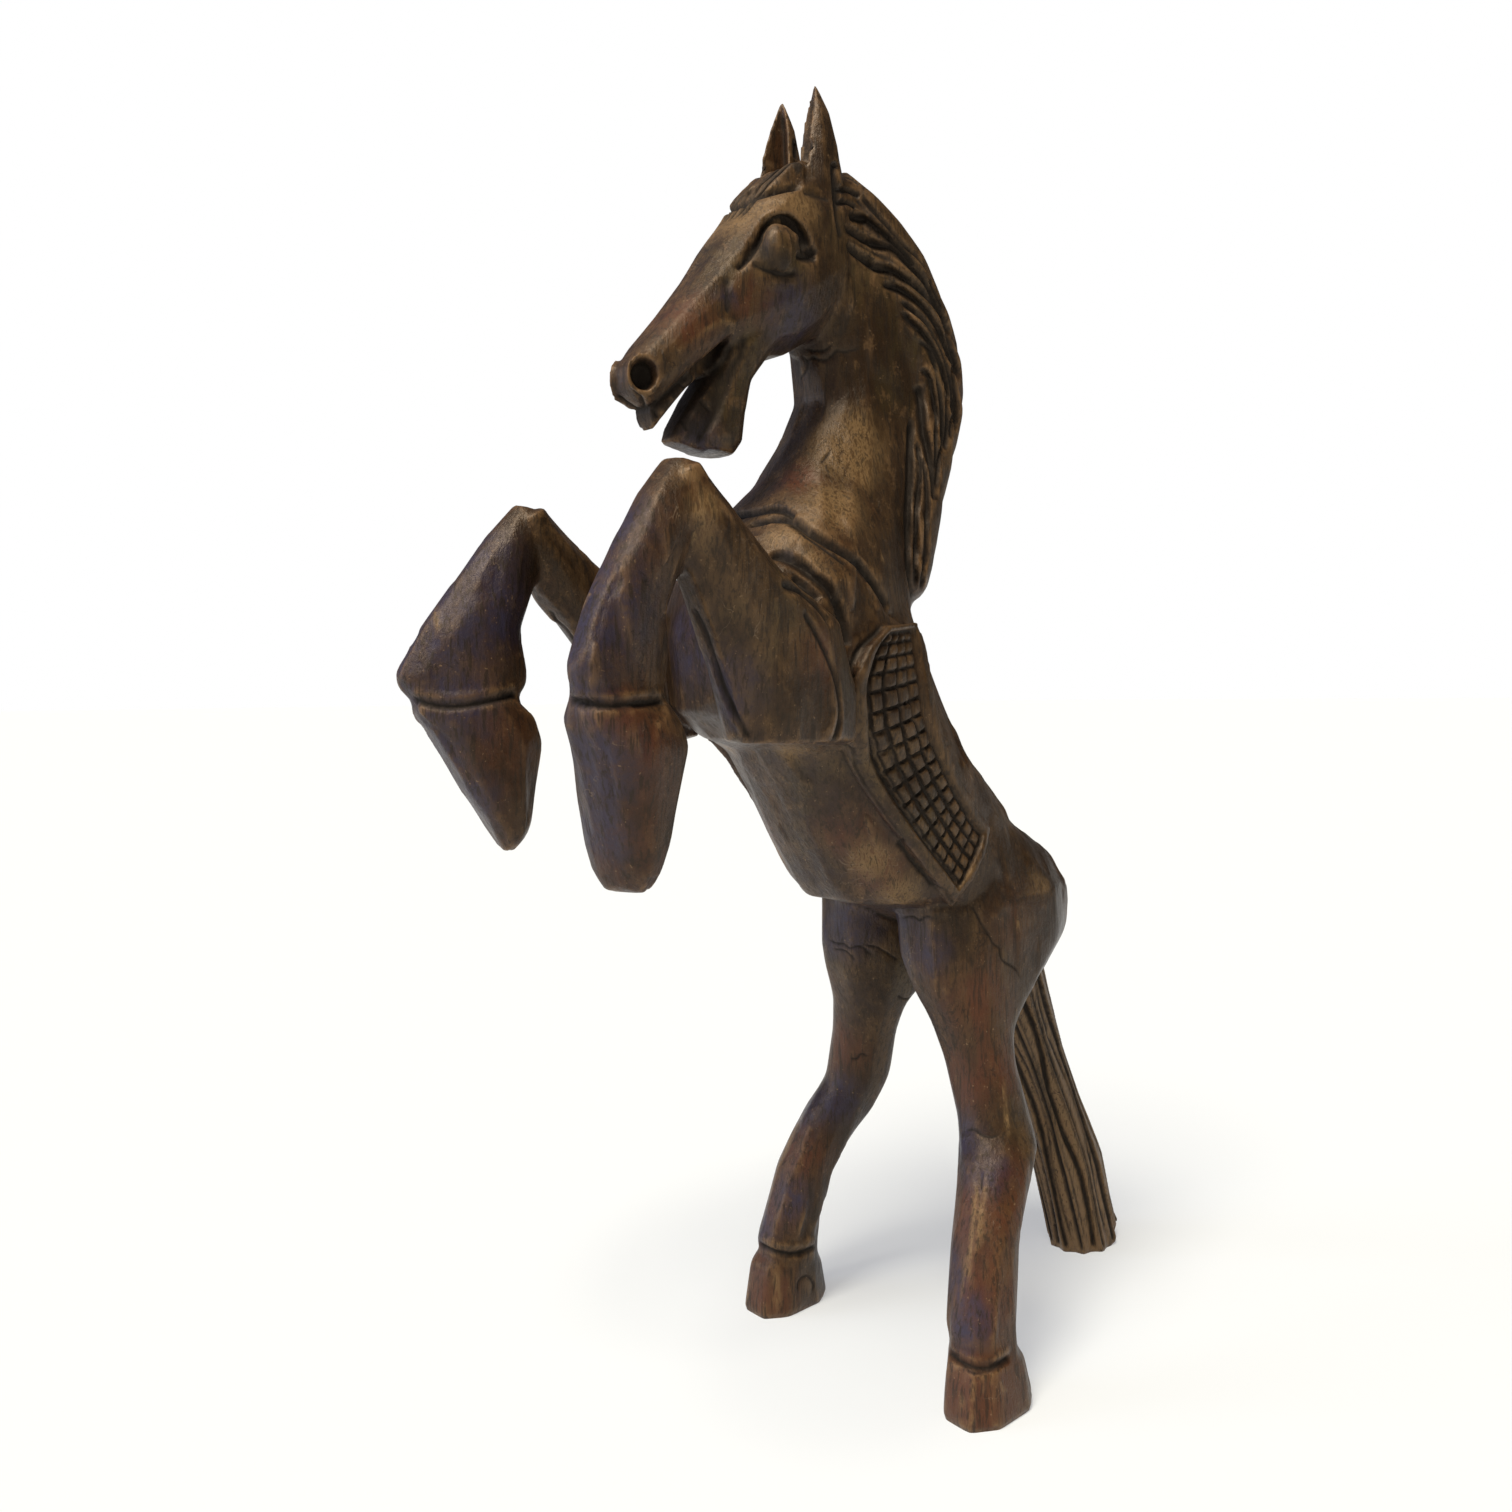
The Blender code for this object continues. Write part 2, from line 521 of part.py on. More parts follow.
def flap(tree, side):
    """The blanket's flap: rows of raised tiles inside a raised rim."""
    edges = list(zip(FLAP_FRONT, FLAP_BACK))
    wide = sum(math.dist(front, back) for front, back in edges) / len(edges)
    high = sum(math.dist(a, b) for a, b in zip(FLAP_FRONT, FLAP_FRONT[1:]))
    rim_across = RIM_WIDTH / wide
    rim_down = RIM_WIDTH / high
    gap_across = TILE_GROOVE / 2 / wide
    gap_down = TILE_GROOVE / 2 / high

    def across_at(i):
        return rim_across + (1 - 2 * rim_across) * i / TILE_COLUMNS

    def down_at(j):
        return rim_down + (1 - 2 * rim_down) * j / TILE_ROWS

    def build(mesh):
        def vertex(across, down, rise):
            return mesh.verts.new(flap_point(tree, across, down, side, rise))

        nodes = [[vertex(across_at(i), down_at(j), TILE_GROOVE_RISE)
                  for i in range(TILE_COLUMNS + 1)] for j in range(TILE_ROWS + 1)]
        for j in range(TILE_ROWS):
            for i in range(TILE_COLUMNS):
                low = (nodes[j][i], nodes[j][i + 1], nodes[j + 1][i + 1], nodes[j + 1][i])
                left, right = across_at(i) + gap_across, across_at(i + 1) - gap_across
                top, bottom = down_at(j) + gap_down, down_at(j + 1) - gap_down
                corners = ((left, top), (right, top), (right, bottom), (left, bottom))
                tile = [vertex(across, down, TILE_RISE) for across, down in corners]
                mesh.faces.new(tile)
                for k in range(4):
                    m = (k + 1) % 4
                    mesh.faces.new((low[k], low[m], tile[m], tile[k]))
        border = ([(i, 0) for i in range(TILE_COLUMNS)]
                  + [(TILE_COLUMNS, j) for j in range(TILE_ROWS)]
                  + [(i, TILE_ROWS) for i in range(TILE_COLUMNS, 0, -1)]
                  + [(0, j) for j in range(TILE_ROWS, 0, -1)])
        loop = [nodes[j][i] for i, j in border]
        for spread, rise in RIM_PROFILE:
            outer = []
            for i, j in border:
                across, down = across_at(i), down_at(j)
                if i == 0:
                    across = rim_across * (1 - spread)
                if i == TILE_COLUMNS:
                    across = 1 - rim_across * (1 - spread)
                if j == 0:
                    down = rim_down * (1 - spread)
                if j == TILE_ROWS:
                    down = 1 - rim_down * (1 - spread)
                outer.append(vertex(across, down, rise))
            for k, corner in enumerate(loop):
                m = (k + 1) % len(loop)
                mesh.faces.new((corner, loop[m], outer[m], outer[k]))
            loop = outer
        inside = [mesh.verts.new(v.co - Vector((0, side * UNIT, 0))) for v in loop]
        for k, corner in enumerate(loop):
            m = (k + 1) % len(loop)
            mesh.faces.new((corner, loop[m], inside[m], inside[k]))
        mesh.faces.new(inside)
    return solid("flap", build)


def seat():
    """The saddle's seat: a thin pad over the back that rises to a cantle behind."""
    rings = []
    half = (SEAT_FACETS + 1) / 2
    steps = [k - half + 0.5 for k in range(SEAT_FACETS + 1)]
    for rib in range(SEAT_START, SEAT_END + 1):
        front, back, width, egg = TRUNK[rib]
        swell = max(0.0, 1 - (SEAT_END - rib) / CANTLE_ROWS)
        rise = mix(SEAT_RISE, CANTLE_RISE, swell)
        upper = [(step, rise * (1 - SEAT_FALL * abs(step) / half)) for step in steps]
        lower = [(step, -SEAT_SINK) for step in reversed(steps)]
        rings.append([oval_point(front, back, width, 0, math.pi + 2 * math.pi / TRUNK_SIDES * step,
                                 square=TRUNK_SQUARE, egg=egg, rise=level)
                      for step, level in upper + lower])
    return loft("seat", rings)


def volume_of(data):
    """A closed mesh's volume."""
    mesh = bmesh.new()
    mesh.from_mesh(data)
    volume = mesh.calc_volume()
    mesh.free()
    return volume


def boolean(body, others, operation):
    """Join pieces to the body or cut them from it, one by one."""
    for other in others:
        least = volume_of(body.data)
        if operation == "DIFFERENCE":
            least -= volume_of(other.data)
        modifier = body.modifiers.new(other.name, "BOOLEAN")
        modifier.operation = operation
        modifier.object = other
        for solver in ("EXACT", "MANIFOLD"):
            modifier.solver = solver
            made = bpy.data.meshes.new_from_object(
                body.evaluated_get(bpy.context.evaluated_depsgraph_get()))
            if volume_of(made) >= least * ALL_BUT:
                break
        body.modifiers.clear()
        body.data = made
        bpy.data.objects.remove(other)


def clean(body):
    """Drop the crumbs without area that the joints leave, and cut large faces into triangles."""
    mesh = bmesh.new()
    mesh.from_mesh(body.data)
    bmesh.ops.dissolve_degenerate(mesh, edges=mesh.edges, dist=CRUMB)
    bmesh.ops.triangulate(mesh, faces=[f for f in mesh.faces if len(f.verts) > 4])
    mesh.to_mesh(body.data)
    mesh.free()


def dark_wood():
    """Oiled, age-darkened wood."""
    material = bpy.data.materials.new("dark_wood")
    material.use_nodes = True
    shader = material.node_tree.nodes["Principled BSDF"]
    shader.inputs["Base Color"].default_value = (0.085, 0.048, 0.028, 1.0)
    shader.inputs["Roughness"].default_value = 0.5
    shader.inputs["Metallic"].default_value = 0.0
    return material


for old in list(bpy.data.objects):
    bpy.data.objects.remove(old, do_unlink=True)
pieces = bpy.data.collections.new("Wooden horse")
cutting = bpy.data.collections.new("Pieces to join and cut")
for group in (pieces, cutting):
    bpy.context.scene.collection.children.link(group)

horse = loft("wooden_horse", [oval(f, b, w, 0, TRUNK_SIDES, square=TRUNK_SQUARE, egg=e)
                              for f, b, w, e in TRUNK])
cutting.objects.unlink(horse)
pieces.objects.link(horse)
horse.hide_render = False
horse.display_type = "TEXTURED"
torso = tree_of(horse)
added = [
    loft("head", [oval(f, b, w, 0, HEAD_SIDES, square=HEAD_SQUARE) for f, b, w in HEAD]),
    loft("jaw", [oval(f, b, w, 0, HEAD_SIDES, square=JAW_SQUARE) for f, b, w in JAW]),
    loft("upper_teeth", [oval(f, b, w, 0, LEG_SIDES, square=TEETH_SQUARE)
                         for f, b, w in UPPER_TEETH]),
    loft("lower_teeth", [oval(f, b, w, 0, LEG_SIDES, square=TEETH_SQUARE)
                         for f, b, w in LOWER_TEETH]),
    loft("mane", [oval(f, b, w, 0, TRUNK_SIDES) for f, b, w in MANE]),
]
for side, forearm, cannon, fore_hoof in ((1, FOREARM, CANNON, FORE_HOOF),
                                         (-1, RIGHT_FOREARM, RIGHT_CANNON, RIGHT_FORE_HOOF)):
    added.append(loft("forearm", [oval(f, b, w, y * side, LEG_SIDES)
                                  for f, b, w, y in forearm]))
    added.append(loft("cannon", [oval(f, b, w, y * side, LEG_SIDES, turn=TOE_OUT * side)
                                 for f, b, w, y in cannon]))
    added.append(loft("fore_hoof", [oval(f, b, w, y * side, LEG_SIDES, square=HOOF_SQUARE,
                                         turn=TOE_OUT * side) for f, b, w, y in fore_hoof]))
    added.append(loft("hind_leg", [oval(f, b, w, stance(y, side), LEG_SIDES)
                                   for f, b, w, y in HIND_LEG]))
    added.append(loft("hind_hoof", [oval(f, b, w, stance(y, side), LEG_SIDES, square=HOOF_SQUARE)
                                    for f, b, w, y in HIND_HOOF]))
    added.append(ear(side))
    added.append(flap(torso, side))
    added += [lock_on_mane(number, side) for number in range(LOCKS)]
added += [forelock(offset) for offset in FORELOCK_OFFSETS]
added.append(seat())

tail_rings = []
for front, back, width in TAIL:
    tail_rings.append([oval_point(front, back, width, 0, math.pi * (i + 0.5) / TAIL_FLUTES,
                                  rise=-FLUTE_DEPTH * width * (i % 2))
                       for i in range(2 * TAIL_FLUTES)])
added.append(loft("tail", tail_rings))
boolean(horse, added, "UNION")

skin = tree_of(horse)
boolean(horse, [nostril("rim", side, NOSTRIL_RADIUS + NOSTRIL_RIM, NOSTRIL_DEPTH / 2, NOSTRIL_LIFT)
                for side in (1, -1)], "UNION")
cutters = []
for name, line in (("upper_strap", STRAP_UPPER), ("lower_strap", STRAP_LOWER)):
    round_neck = [(place, -degrees) for place, degrees in line[:0:-1]] + list(line)
    cutters.append(groove(name, [on_trunk(*spot) for spot in round_neck], STRAP_GROOVE))
for side in (1, -1):
    recess = [on_trunk(place, side * degrees) for place, degrees in RECESS]
    cutters.append(groove("recess", recess, SHOULDER_RECESS))
    cutters.append(groove("lid", [on_side(skin, x, z, side) for x, z in LID], EYE_GROOVE))
    cutters.append(mouth(side))
    for cut in TOOTH_CUTS:
        cutters.append(groove("tooth", [on_side(skin, x, z, side) for x, z in cut], TOOTH_GROOVE))
    cutters.append(nostril("hole", side, NOSTRIL_RADIUS, NOSTRIL_DEPTH, NOSTRIL_DEPTH))
floor = solid("floor", lambda mesh: bmesh.ops.create_cube(mesh, size=HEIGHT))
floor.location.z = -HEIGHT / 2
cutters.append(floor)
boolean(horse, cutters, "DIFFERENCE")
boolean(horse, [eyeball(side, skin) for side in (1, -1)], "UNION")
clean(horse)

# Origin on the floor, under the middle of the whole outline
corners = [horse.matrix_world @ vertex.co for vertex in horse.data.vertices]
low = Vector(min(corner[i] for corner in corners) for i in range(3))
high = Vector(max(corner[i] for corner in corners) for i in range(3))
SHIFT = Vector((-(low.x + high.x) / 2, -(low.y + high.y) / 2, -low.z))
for vertex in horse.data.vertices:
    vertex.co += SHIFT
horse.data.shade_smooth()
horse.data.set_sharp_from_angle(angle=RIDGE)
horse.data.materials.append(dark_wood())
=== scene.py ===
# %% [markdown]
# # A carved wooden horse
# The horse was cut from one block of dark wood. It rears on its hind hooves and the end of its
# tail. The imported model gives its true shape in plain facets. This lesson takes a copy of that
# shape, carves the finer work into it, and gives it the finish of old oiled wood.

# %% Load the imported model
import math

import bmesh
import bpy
import numpy as np
from mathutils import Matrix, Vector
from mathutils.bvhtree import BVHTree
from mathutils.kdtree import KDTree


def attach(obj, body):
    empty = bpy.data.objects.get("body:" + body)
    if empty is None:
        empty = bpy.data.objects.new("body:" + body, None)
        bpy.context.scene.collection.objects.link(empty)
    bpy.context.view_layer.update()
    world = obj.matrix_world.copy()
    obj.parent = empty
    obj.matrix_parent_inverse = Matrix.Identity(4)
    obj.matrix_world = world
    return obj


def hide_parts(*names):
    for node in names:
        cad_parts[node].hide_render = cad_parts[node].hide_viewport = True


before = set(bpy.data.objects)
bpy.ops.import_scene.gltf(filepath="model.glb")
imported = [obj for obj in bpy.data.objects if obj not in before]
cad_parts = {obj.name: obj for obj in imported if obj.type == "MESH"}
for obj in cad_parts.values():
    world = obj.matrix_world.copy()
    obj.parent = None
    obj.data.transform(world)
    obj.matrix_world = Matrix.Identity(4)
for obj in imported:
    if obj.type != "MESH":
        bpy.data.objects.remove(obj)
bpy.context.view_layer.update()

# %% [markdown]
# ## The camera
# The horse is seen from its front left at half its height, from about one height away. The
# camera is level but for half a degree of roll, and a small shift frames the picture as the
# photographer did. Each cut below can then be named by where it shows in that picture, as a
# carver works from a drawing.

# %% Camera
PICTURE = 1512             # the picture's side, in its own small squares
HORIZON = 689.1            # how far down the picture eye level lies
FOCAL = 1245.3             # focal length in the same squares
SENSOR = 36                # width of the camera's sensor, in mm
CAMERA_PLACE = Vector((0.87968, 0.83136, 0.64583))
CAMERA_AIM = Vector((-0.6658, -0.7462, 0.0)).normalized()
ROLL = 0.00895
rightward = CAMERA_AIM.cross((0, 0, 1)) * math.cos(ROLL) - Vector((0, 0, math.sin(ROLL)))
upward = rightward.cross(CAMERA_AIM)

scene = bpy.context.scene
camera_data = bpy.data.cameras.new("camera")
camera_data.sensor_width = SENSOR
camera_data.lens = FOCAL / PICTURE * SENSOR
camera_data.shift_y = (HORIZON - PICTURE / 2) / PICTURE
camera = bpy.data.objects.new("camera", camera_data)
camera.location = CAMERA_PLACE
camera.rotation_euler = Matrix((rightward, upward, -CAMERA_AIM)).transposed().to_euler()
scene.collection.objects.link(camera)
scene.camera = camera
print("lens", round(camera_data.lens, 2), "mm")

# %% [markdown]
# ## A finer skin
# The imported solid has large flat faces. A carver's surface is full of small marks, so it needs
# many small, even faces that can be pushed about. They could come from subdividing the faces,
# but the Remesh modifier in voxel mode spreads them evenly and keeps one closed skin.

# %% Remesh a copy of the solid
FINE = 0.0017              # side of a small face, in metres

work = bmesh.new()
work.from_mesh(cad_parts["wooden_horse"].data)
bmesh.ops.remove_doubles(work, verts=work.verts, dist=0.00001)
blank = bpy.data.meshes.new("blank")
work.to_mesh(blank)
work.free()
horse = bpy.data.objects.new("carved_horse", blank)
scene.collection.objects.link(horse)


def bake_modifiers(thing):
    """Make an object's modifiers part of its mesh."""
    graph = bpy.context.evaluated_depsgraph_get()
    made = bpy.data.meshes.new_from_object(thing.evaluated_get(graph))
    thing.modifiers.clear()
    thing.data = made


remesh = horse.modifiers.new("fine skin", "REMESH")
remesh.mode = "VOXEL"
remesh.voxel_size = FINE
bake_modifiers(horse)
count = len(horse.data.vertices)
print("fine skin", count, "points")

# %% [markdown]
# ## A carver's tools
# Every cut is a push of the skin's points along its normals. Sculpting by hand would do the
# same, but pushes worked out on arrays of points come out alike each time. These helpers read
# and write the points, average them with their neighbours, and find places on the skin.

# %% Points, normals and neighbours
pairs = np.empty(len(horse.data.edges) * 2, dtype=np.int32)
horse.data.edges.foreach_get("vertices", pairs)
first, second = pairs.reshape(-1, 2).T
neighbours = np.bincount(first, minlength=count) + np.bincount(second, minlength=count)


def read(source, name):
    """Three numbers for each point, as rows of an array."""
    flat = np.empty(count * 3, dtype=np.float32)
    source.foreach_get(name, flat)
    return flat.reshape(-1, 3).astype(float)


def set_points(places):
    """Put the points of the skin at these places."""
    horse.data.vertices.foreach_set("co", places.astype(np.float32).ravel())
    horse.data.update()


def normals_of(places):
    """The skin's normals once its points are at these places."""
    set_points(places)
    return read(horse.data.vertex_normals, "vector")


def relaxed(values, rounds, share=0.5):
    """Move each point's value towards its neighbours' average, some rounds over."""
    if not np.isscalar(share):
        share = share.reshape(-1, *[1] * (values.ndim - 1))
    for _ in range(rounds):
        columns = values.reshape(count, -1)
        mean = np.empty_like(columns)
        for k in range(columns.shape[1]):
            column = columns[:, k]
            mean[:, k] = (np.bincount(first, column[second], count)
                          + np.bincount(second, column[first], count)) / neighbours
        values = values + (mean - columns).reshape(values.shape) * share
    return values


def ease(low, high, values):
    """0 below low, 1 above high, and smooth between."""
    t = np.clip((values - low) / (high - low), 0, 1)
    return t * t * (3 - 2 * t)


print("edges", len(first))

# %% [markdown]
# ## Round limbs and crisp details
# The solid's facets are wider than a gouge leaves them, so the limbs are smoothed first and get
# their chisel marks later. Head, mane, blanket, knees and tail keep their edges. Each of these
# parts of the horse is marked by lines seen from the side, which is how it is drawn on a block.

# %% Parts of the horse
LEAN = 0.012               # how far the horse leans back for each unit of height
MIDDLE = -0.0045           # the horse's middle plane
SOLE = 0.0015              # points below this height touch the floor

points = read(horse.data.vertices, "co")
sole = points[:, 2] < SOLE
x = (points[:, 0] + LEAN * points[:, 2]) * 100      # in cm, as if the horse stood upright
side = np.abs(points[:, 1] - MIDDLE) * 100
z = points[:, 2] * 100


def zone(edge, heights, edge_x, low, high, behind=True):
    """1 behind (or before) a line seen from the side, between two heights, with a soft edge."""
    line = np.interp(z, heights, edge_x)
    beyond = line - x if behind else x - line
    inside = ease(-edge, edge, beyond) * ease(low - edge, low + edge, z)
    return inside * (1 - ease(high - edge, high + edge, z))


in_mane = zone(0.7, (72, 75.5, 80, 85.5, 91, 96, 100, 105, 109.6, 113),
               (0.7, 1.9, 1.2, -0.2, -1.5, -1.1, 0.2, 2.4, 5.2, 7), 73, 112.5)
in_mane *= ease(0.0, 0.4, np.interp(z, (76, 84), (9, 8)) - side)
in_flap = zone(0.5, (44, 49, 52.6, 56.4, 60.4, 64.6, 67.8, 70.5),
               (-1, 3.4, 6.6, 9.9, 12.9, 14.1, 12.7, 9.5), 43, 71.5)
in_flap *= zone(0.5, (44, 51.2, 55.4, 60.4, 66, 70.5), (-9, -7.4, -3, 0.2, 1.4, 1.6), 43, 71.5, behind=False)
in_flap *= ease(5.5, 7, side)
in_head = zone(1.0, (84, 96, 102, 110, 121), (15, 9.5, 8, 4, 4), 83, 130, behind=False)
in_harness = zone(1.5, (62, 86), (2, 2), 64, 82, behind=False) * (1 - ease(9.5, 11, side))
in_tail = zone(0.6, (0, 10, 20, 30, 36), (-25, -24, -20, -14.5, -11), 0, 36) * (1 - ease(4.6, 5.2, side))
in_forelock = zone(0.6, (101, 107, 110, 114), (18.5, 14.5, 11.5, 11), 102.8, 115, behind=False)
in_forelock *= 1 - ease(3.3, 4.2, side)
knees = 1 - ease(2.5, 6.5, np.sqrt((x - 33) ** 2 + (side - 11.1) ** 2 + (z - 81) ** 2))
crisp = np.clip(np.maximum.reduce([in_flap, in_mane, in_head * 0.9, in_tail * 0.9, knees * 0.85]), 0, 1)
rump = zone(2.0, (28, 50), (4, 0), 31, 50)
belly = zone(2.0, (46, 60), (30, 30), 46, 59)
hocks = zone(2.0, (16, 34), (30, 30), 17, 35)
neck = zone(2.0, (84, 106), (12, 10), 84, 100)
round_parts = np.maximum.reduce([rump, belly, hocks, neck, in_harness])
print("kept crisp", round(float(crisp.mean()), 2), "of the skin")

# %% Soften the skin
ALL_OVER, ROUNDER, HAIR, FORELOCK_END = 30, 70, 70, 140      # rounds of smoothing
HAIR_PROUD, FORELOCK_PROUD = 0.0018, 0.0008                  # what smoothing took off, in metres
TAIL_CORNER, TAIL_SLANT, TAIL_RISE, TAIL_CUT = -37.6, 0.55, 2.6, 6     # the tail's end, in cm

flattened = np.maximum(in_mane, in_forelock)
flat = relaxed(points, HAIR, 0.5 * flattened)
points = relaxed(points, ALL_OVER, 0.5 * (1 - crisp))
points = relaxed(points, ROUNDER, 0.5 * round_parts * (1 - crisp))
points = points + (flat - points) * flattened[:, None]
points = relaxed(points, FORELOCK_END, 0.5 * in_forelock * (1 - ease(107, 110, z)))
points = relaxed(points, 2)
points[sole, 2] = 0
points += normals_of(points) * (HAIR_PROUD * in_mane + FORELOCK_PROUD * in_forelock)[:, None]
slant = np.clip(TAIL_SLANT * (TAIL_CORNER - x), 0, TAIL_RISE) * (z < TAIL_CUT)
points[:, 2] += slant * (1 - z / TAIL_CUT) / 100
sole &= slant == 0
set_points(points)
print("points on the floor", int(sole.sum()))

# %% Places on the skin
LEAP = 0.015               # a step longer than this leaves the surface the line runs on
SPOT_STEP = 2.5            # how close together a line's spots are, in the picture's squares

skin = BVHTree.FromObject(horse, bpy.context.evaluated_depsgraph_get())


def seen(px, py):
    """The place on the skin that shows at this spot of the picture, or None."""
    across = rightward * (px - PICTURE / 2)
    return skin.ray_cast(CAMERA_PLACE, CAMERA_AIM * FOCAL + across + upward * (HORIZON - py))[0]


def upright(x, y, z):
    """A place measured in cm on the horse as if it stood upright, in the leaning horse."""
    return Vector((x - LEAN * z, y + MIDDLE * 100, z)) / 100


def rounded_line(spots):
    """More spots on a smooth line through the given ones."""
    spots = np.array(spots, dtype=float)
    steps = np.linalg.norm(np.diff(spots, axis=0), axis=1)
    along = np.concatenate([[0], np.cumsum(steps)])
    slopes = np.gradient(spots, along, axis=0)
    line = []
    for i, step in enumerate(steps):
        for t in np.arange(0, 1, SPOT_STEP / max(step, SPOT_STEP)):
            line.append((2 * t**3 - 3 * t**2 + 1) * spots[i] + (3 * t**2 - 2 * t**3) * spots[i + 1]
                        + (t**3 - 2 * t**2 + t) * step * slopes[i] + (t**3 - t**2) * step * slopes[i + 1])
    return line + [spots[-1]]


def drawn(spots):
    """A line on the skin through spots of the picture: its longest stretch without a leap."""
    stretches = [[]]
    for place in [seen(*spot) for spot in rounded_line(spots)]:
        if place is None:
            continue
        if stretches[-1] and (place - stretches[-1][-1]).length > LEAP:
            stretches.append([])
        stretches[-1].append(place)
    return max(stretches, key=len)


def mirrored(line):
    """The same line on the other side of the horse."""
    flipped = [Vector((place[0], 2 * MIDDLE - place[1], place[2])) for place in line]
    return [skin.find_nearest(place)[0] for place in flipped]


print("eye level", round(CAMERA_PLACE.z, 2), "m")

# %% Cuts along a line
HOLLOW = 1.4               # 1 cuts a plain V, more gives it hollow sides
DARK_EARLY = 1.9           # how much sooner a cut's painted shade is fully dark than the cut is fully deep

lowered = np.zeros(count)
raised = np.zeros(count)
painted_cut_shade = np.zeros(count)      # painted shade in each cut: how dark it has become


def beside(line, reach):
    """The points within reach of a line: which, how far, and how far along it from 0 to 1."""
    line = np.array([tuple(place) for place in line])
    low, high = line.min(axis=0) - reach, line.max(axis=0) + reach
    which = np.flatnonzero(np.all((points > low) & (points < high), axis=1))
    if not len(which):
        return which, np.zeros(0), np.zeros(0)
    best = np.full(len(which), 1e9)
    along = np.zeros(len(which))
    for i, (a, b) in enumerate(zip(line, line[1:])):
        run = b - a
        t = np.clip((points[which] - a) @ run / max(run @ run, 1e-12), 0, 1)
        gap = np.linalg.norm(points[which] - a - t[:, None] * run, axis=1)
        closer = gap < best
        best[closer] = gap[closer]
        along[closer] = (i + t[closer]) / (len(line) - 1)
    inside = best < reach
    return which[inside], best[inside], along[inside]


def cut(line, width, depth, dark=1.0, ends=0.12, both=False):
    """A groove, or with a negative depth a ridge, that fades at its ends. A groove gets painted shade, as
    dark as dark says.
    """
    if len(line) < 2:
        return
    which, gap, along = beside(line, width)
    fade = ease(0, ends, along) * ease(0, ends, 1 - along) if ends else 1.0
    shape = np.clip(1 - gap / width, 0, 1) ** HOLLOW * fade
    layer = lowered if depth > 0 else raised
    layer[which] = np.maximum(layer[which], abs(depth) * shape)
    # Painted shade in the groove, full sooner than its depth
    painted_cut_shade[which] = np.maximum(painted_cut_shade[which], dark * np.clip(DARK_EARLY * shape, 0, 1))
    if both:
        cut(mirrored(line), width, depth, dark, ends)


def ridge(line, width, height, ends=0.12, both=False):
    """A soft ridge that leaves the wood's colour alone."""
    cut(line, width, -height, 0, ends, both)


def shifted(spots, right, down):
    """The same spots moved in the picture."""
    return [(px + right, py + down) for px, py in spots]


print("tools ready")

# %% [markdown]
# ## Chisel facets
# The carver took the wood down in small flat cuts and left soft ridges between them. Sanding
# would have removed them, and here they catch the light on every limb. Centres are scattered
# over the skin, and each point is pulled onto the planes of its three nearest centres. The
# nearest counts most, so the planes meet in soft ridges and not in steps. The facets are long
# up and down, as a gouge runs with the grain, and calmer at the hocks, which are rounder.

# %% Chisel facets
FACET = 0.027              # how far apart the centres are
TALL = 4                   # how many times longer a facet is than wide
FLATNESS = 0.9             # 1 would make each facet quite flat
DEEPEST = 0.0015           # the most that a point is pulled
BLEND = 0.08               # how wide the ridges between facets are, as a share of a facet
SAME_WAY = 0.8             # planes that face further away than this are left out

dice = np.random.default_rng(7)
broad = normals_of(relaxed(points, 50))
set_points(points)
grid = (FACET, FACET, FACET * TALL)
first_in_cell = {}
for index in dice.permutation(count):
    first_in_cell.setdefault(tuple(np.floor(points[index] / grid).astype(int)), index)
centres = np.array(list(first_in_cell.values()))
squeezed = points * np.array((1.0, 1.0, 1 / TALL))
tree = KDTree(len(centres))
for number, index in enumerate(centres):
    tree.insert(squeezed[index], number)
tree.balance()
near = np.fromiter((value for place in squeezed.tolist() for _, number, gap in tree.find_n(place, 3)
                    for value in (number, gap)), float).reshape(count, 3, 2)
three = centres[near[:, :, 0].astype(int)]
share = np.exp((near[:, :1, 1] - near[:, :, 1]) / (BLEND * FACET))
share *= np.einsum("ij,ikj->ik", broad, broad[three]) > SAME_WAY
off = np.einsum("ikj,ikj->ik", points[:, None] - points[three], broad[three])
total = share.sum(axis=1)
pull = (share * off).sum(axis=1) / np.where(total > 0, total, 1)
calm = zone(2.0, (16, 34), (30, 30), 21, 35)
pull = np.clip(pull, -DEEPEST, DEEPEST) * FLATNESS * (1 - crisp) * (1 - calm)
pull[sole] = 0
points = points - broad * relaxed(pull, 3)[:, None]
set_points(points)
skin = BVHTree.FromObject(horse, bpy.context.evaluated_depsgraph_get())
print("facets", len(centres))

# %% [markdown]
# ## Mane
# The mane is thick and hangs to both sides. Its locks start beside the neck, run down along it
# and turn back to the crest, with deep dark gaps between them and fine strands on each. Modelled
# locks would have to be joined to the neck, so the gaps are cut into the mane's plain rounded
# form. They are drawn where they show and repeated on the far side. Where the picture ends,
# short lines carry them over the back of the mane to its crest.

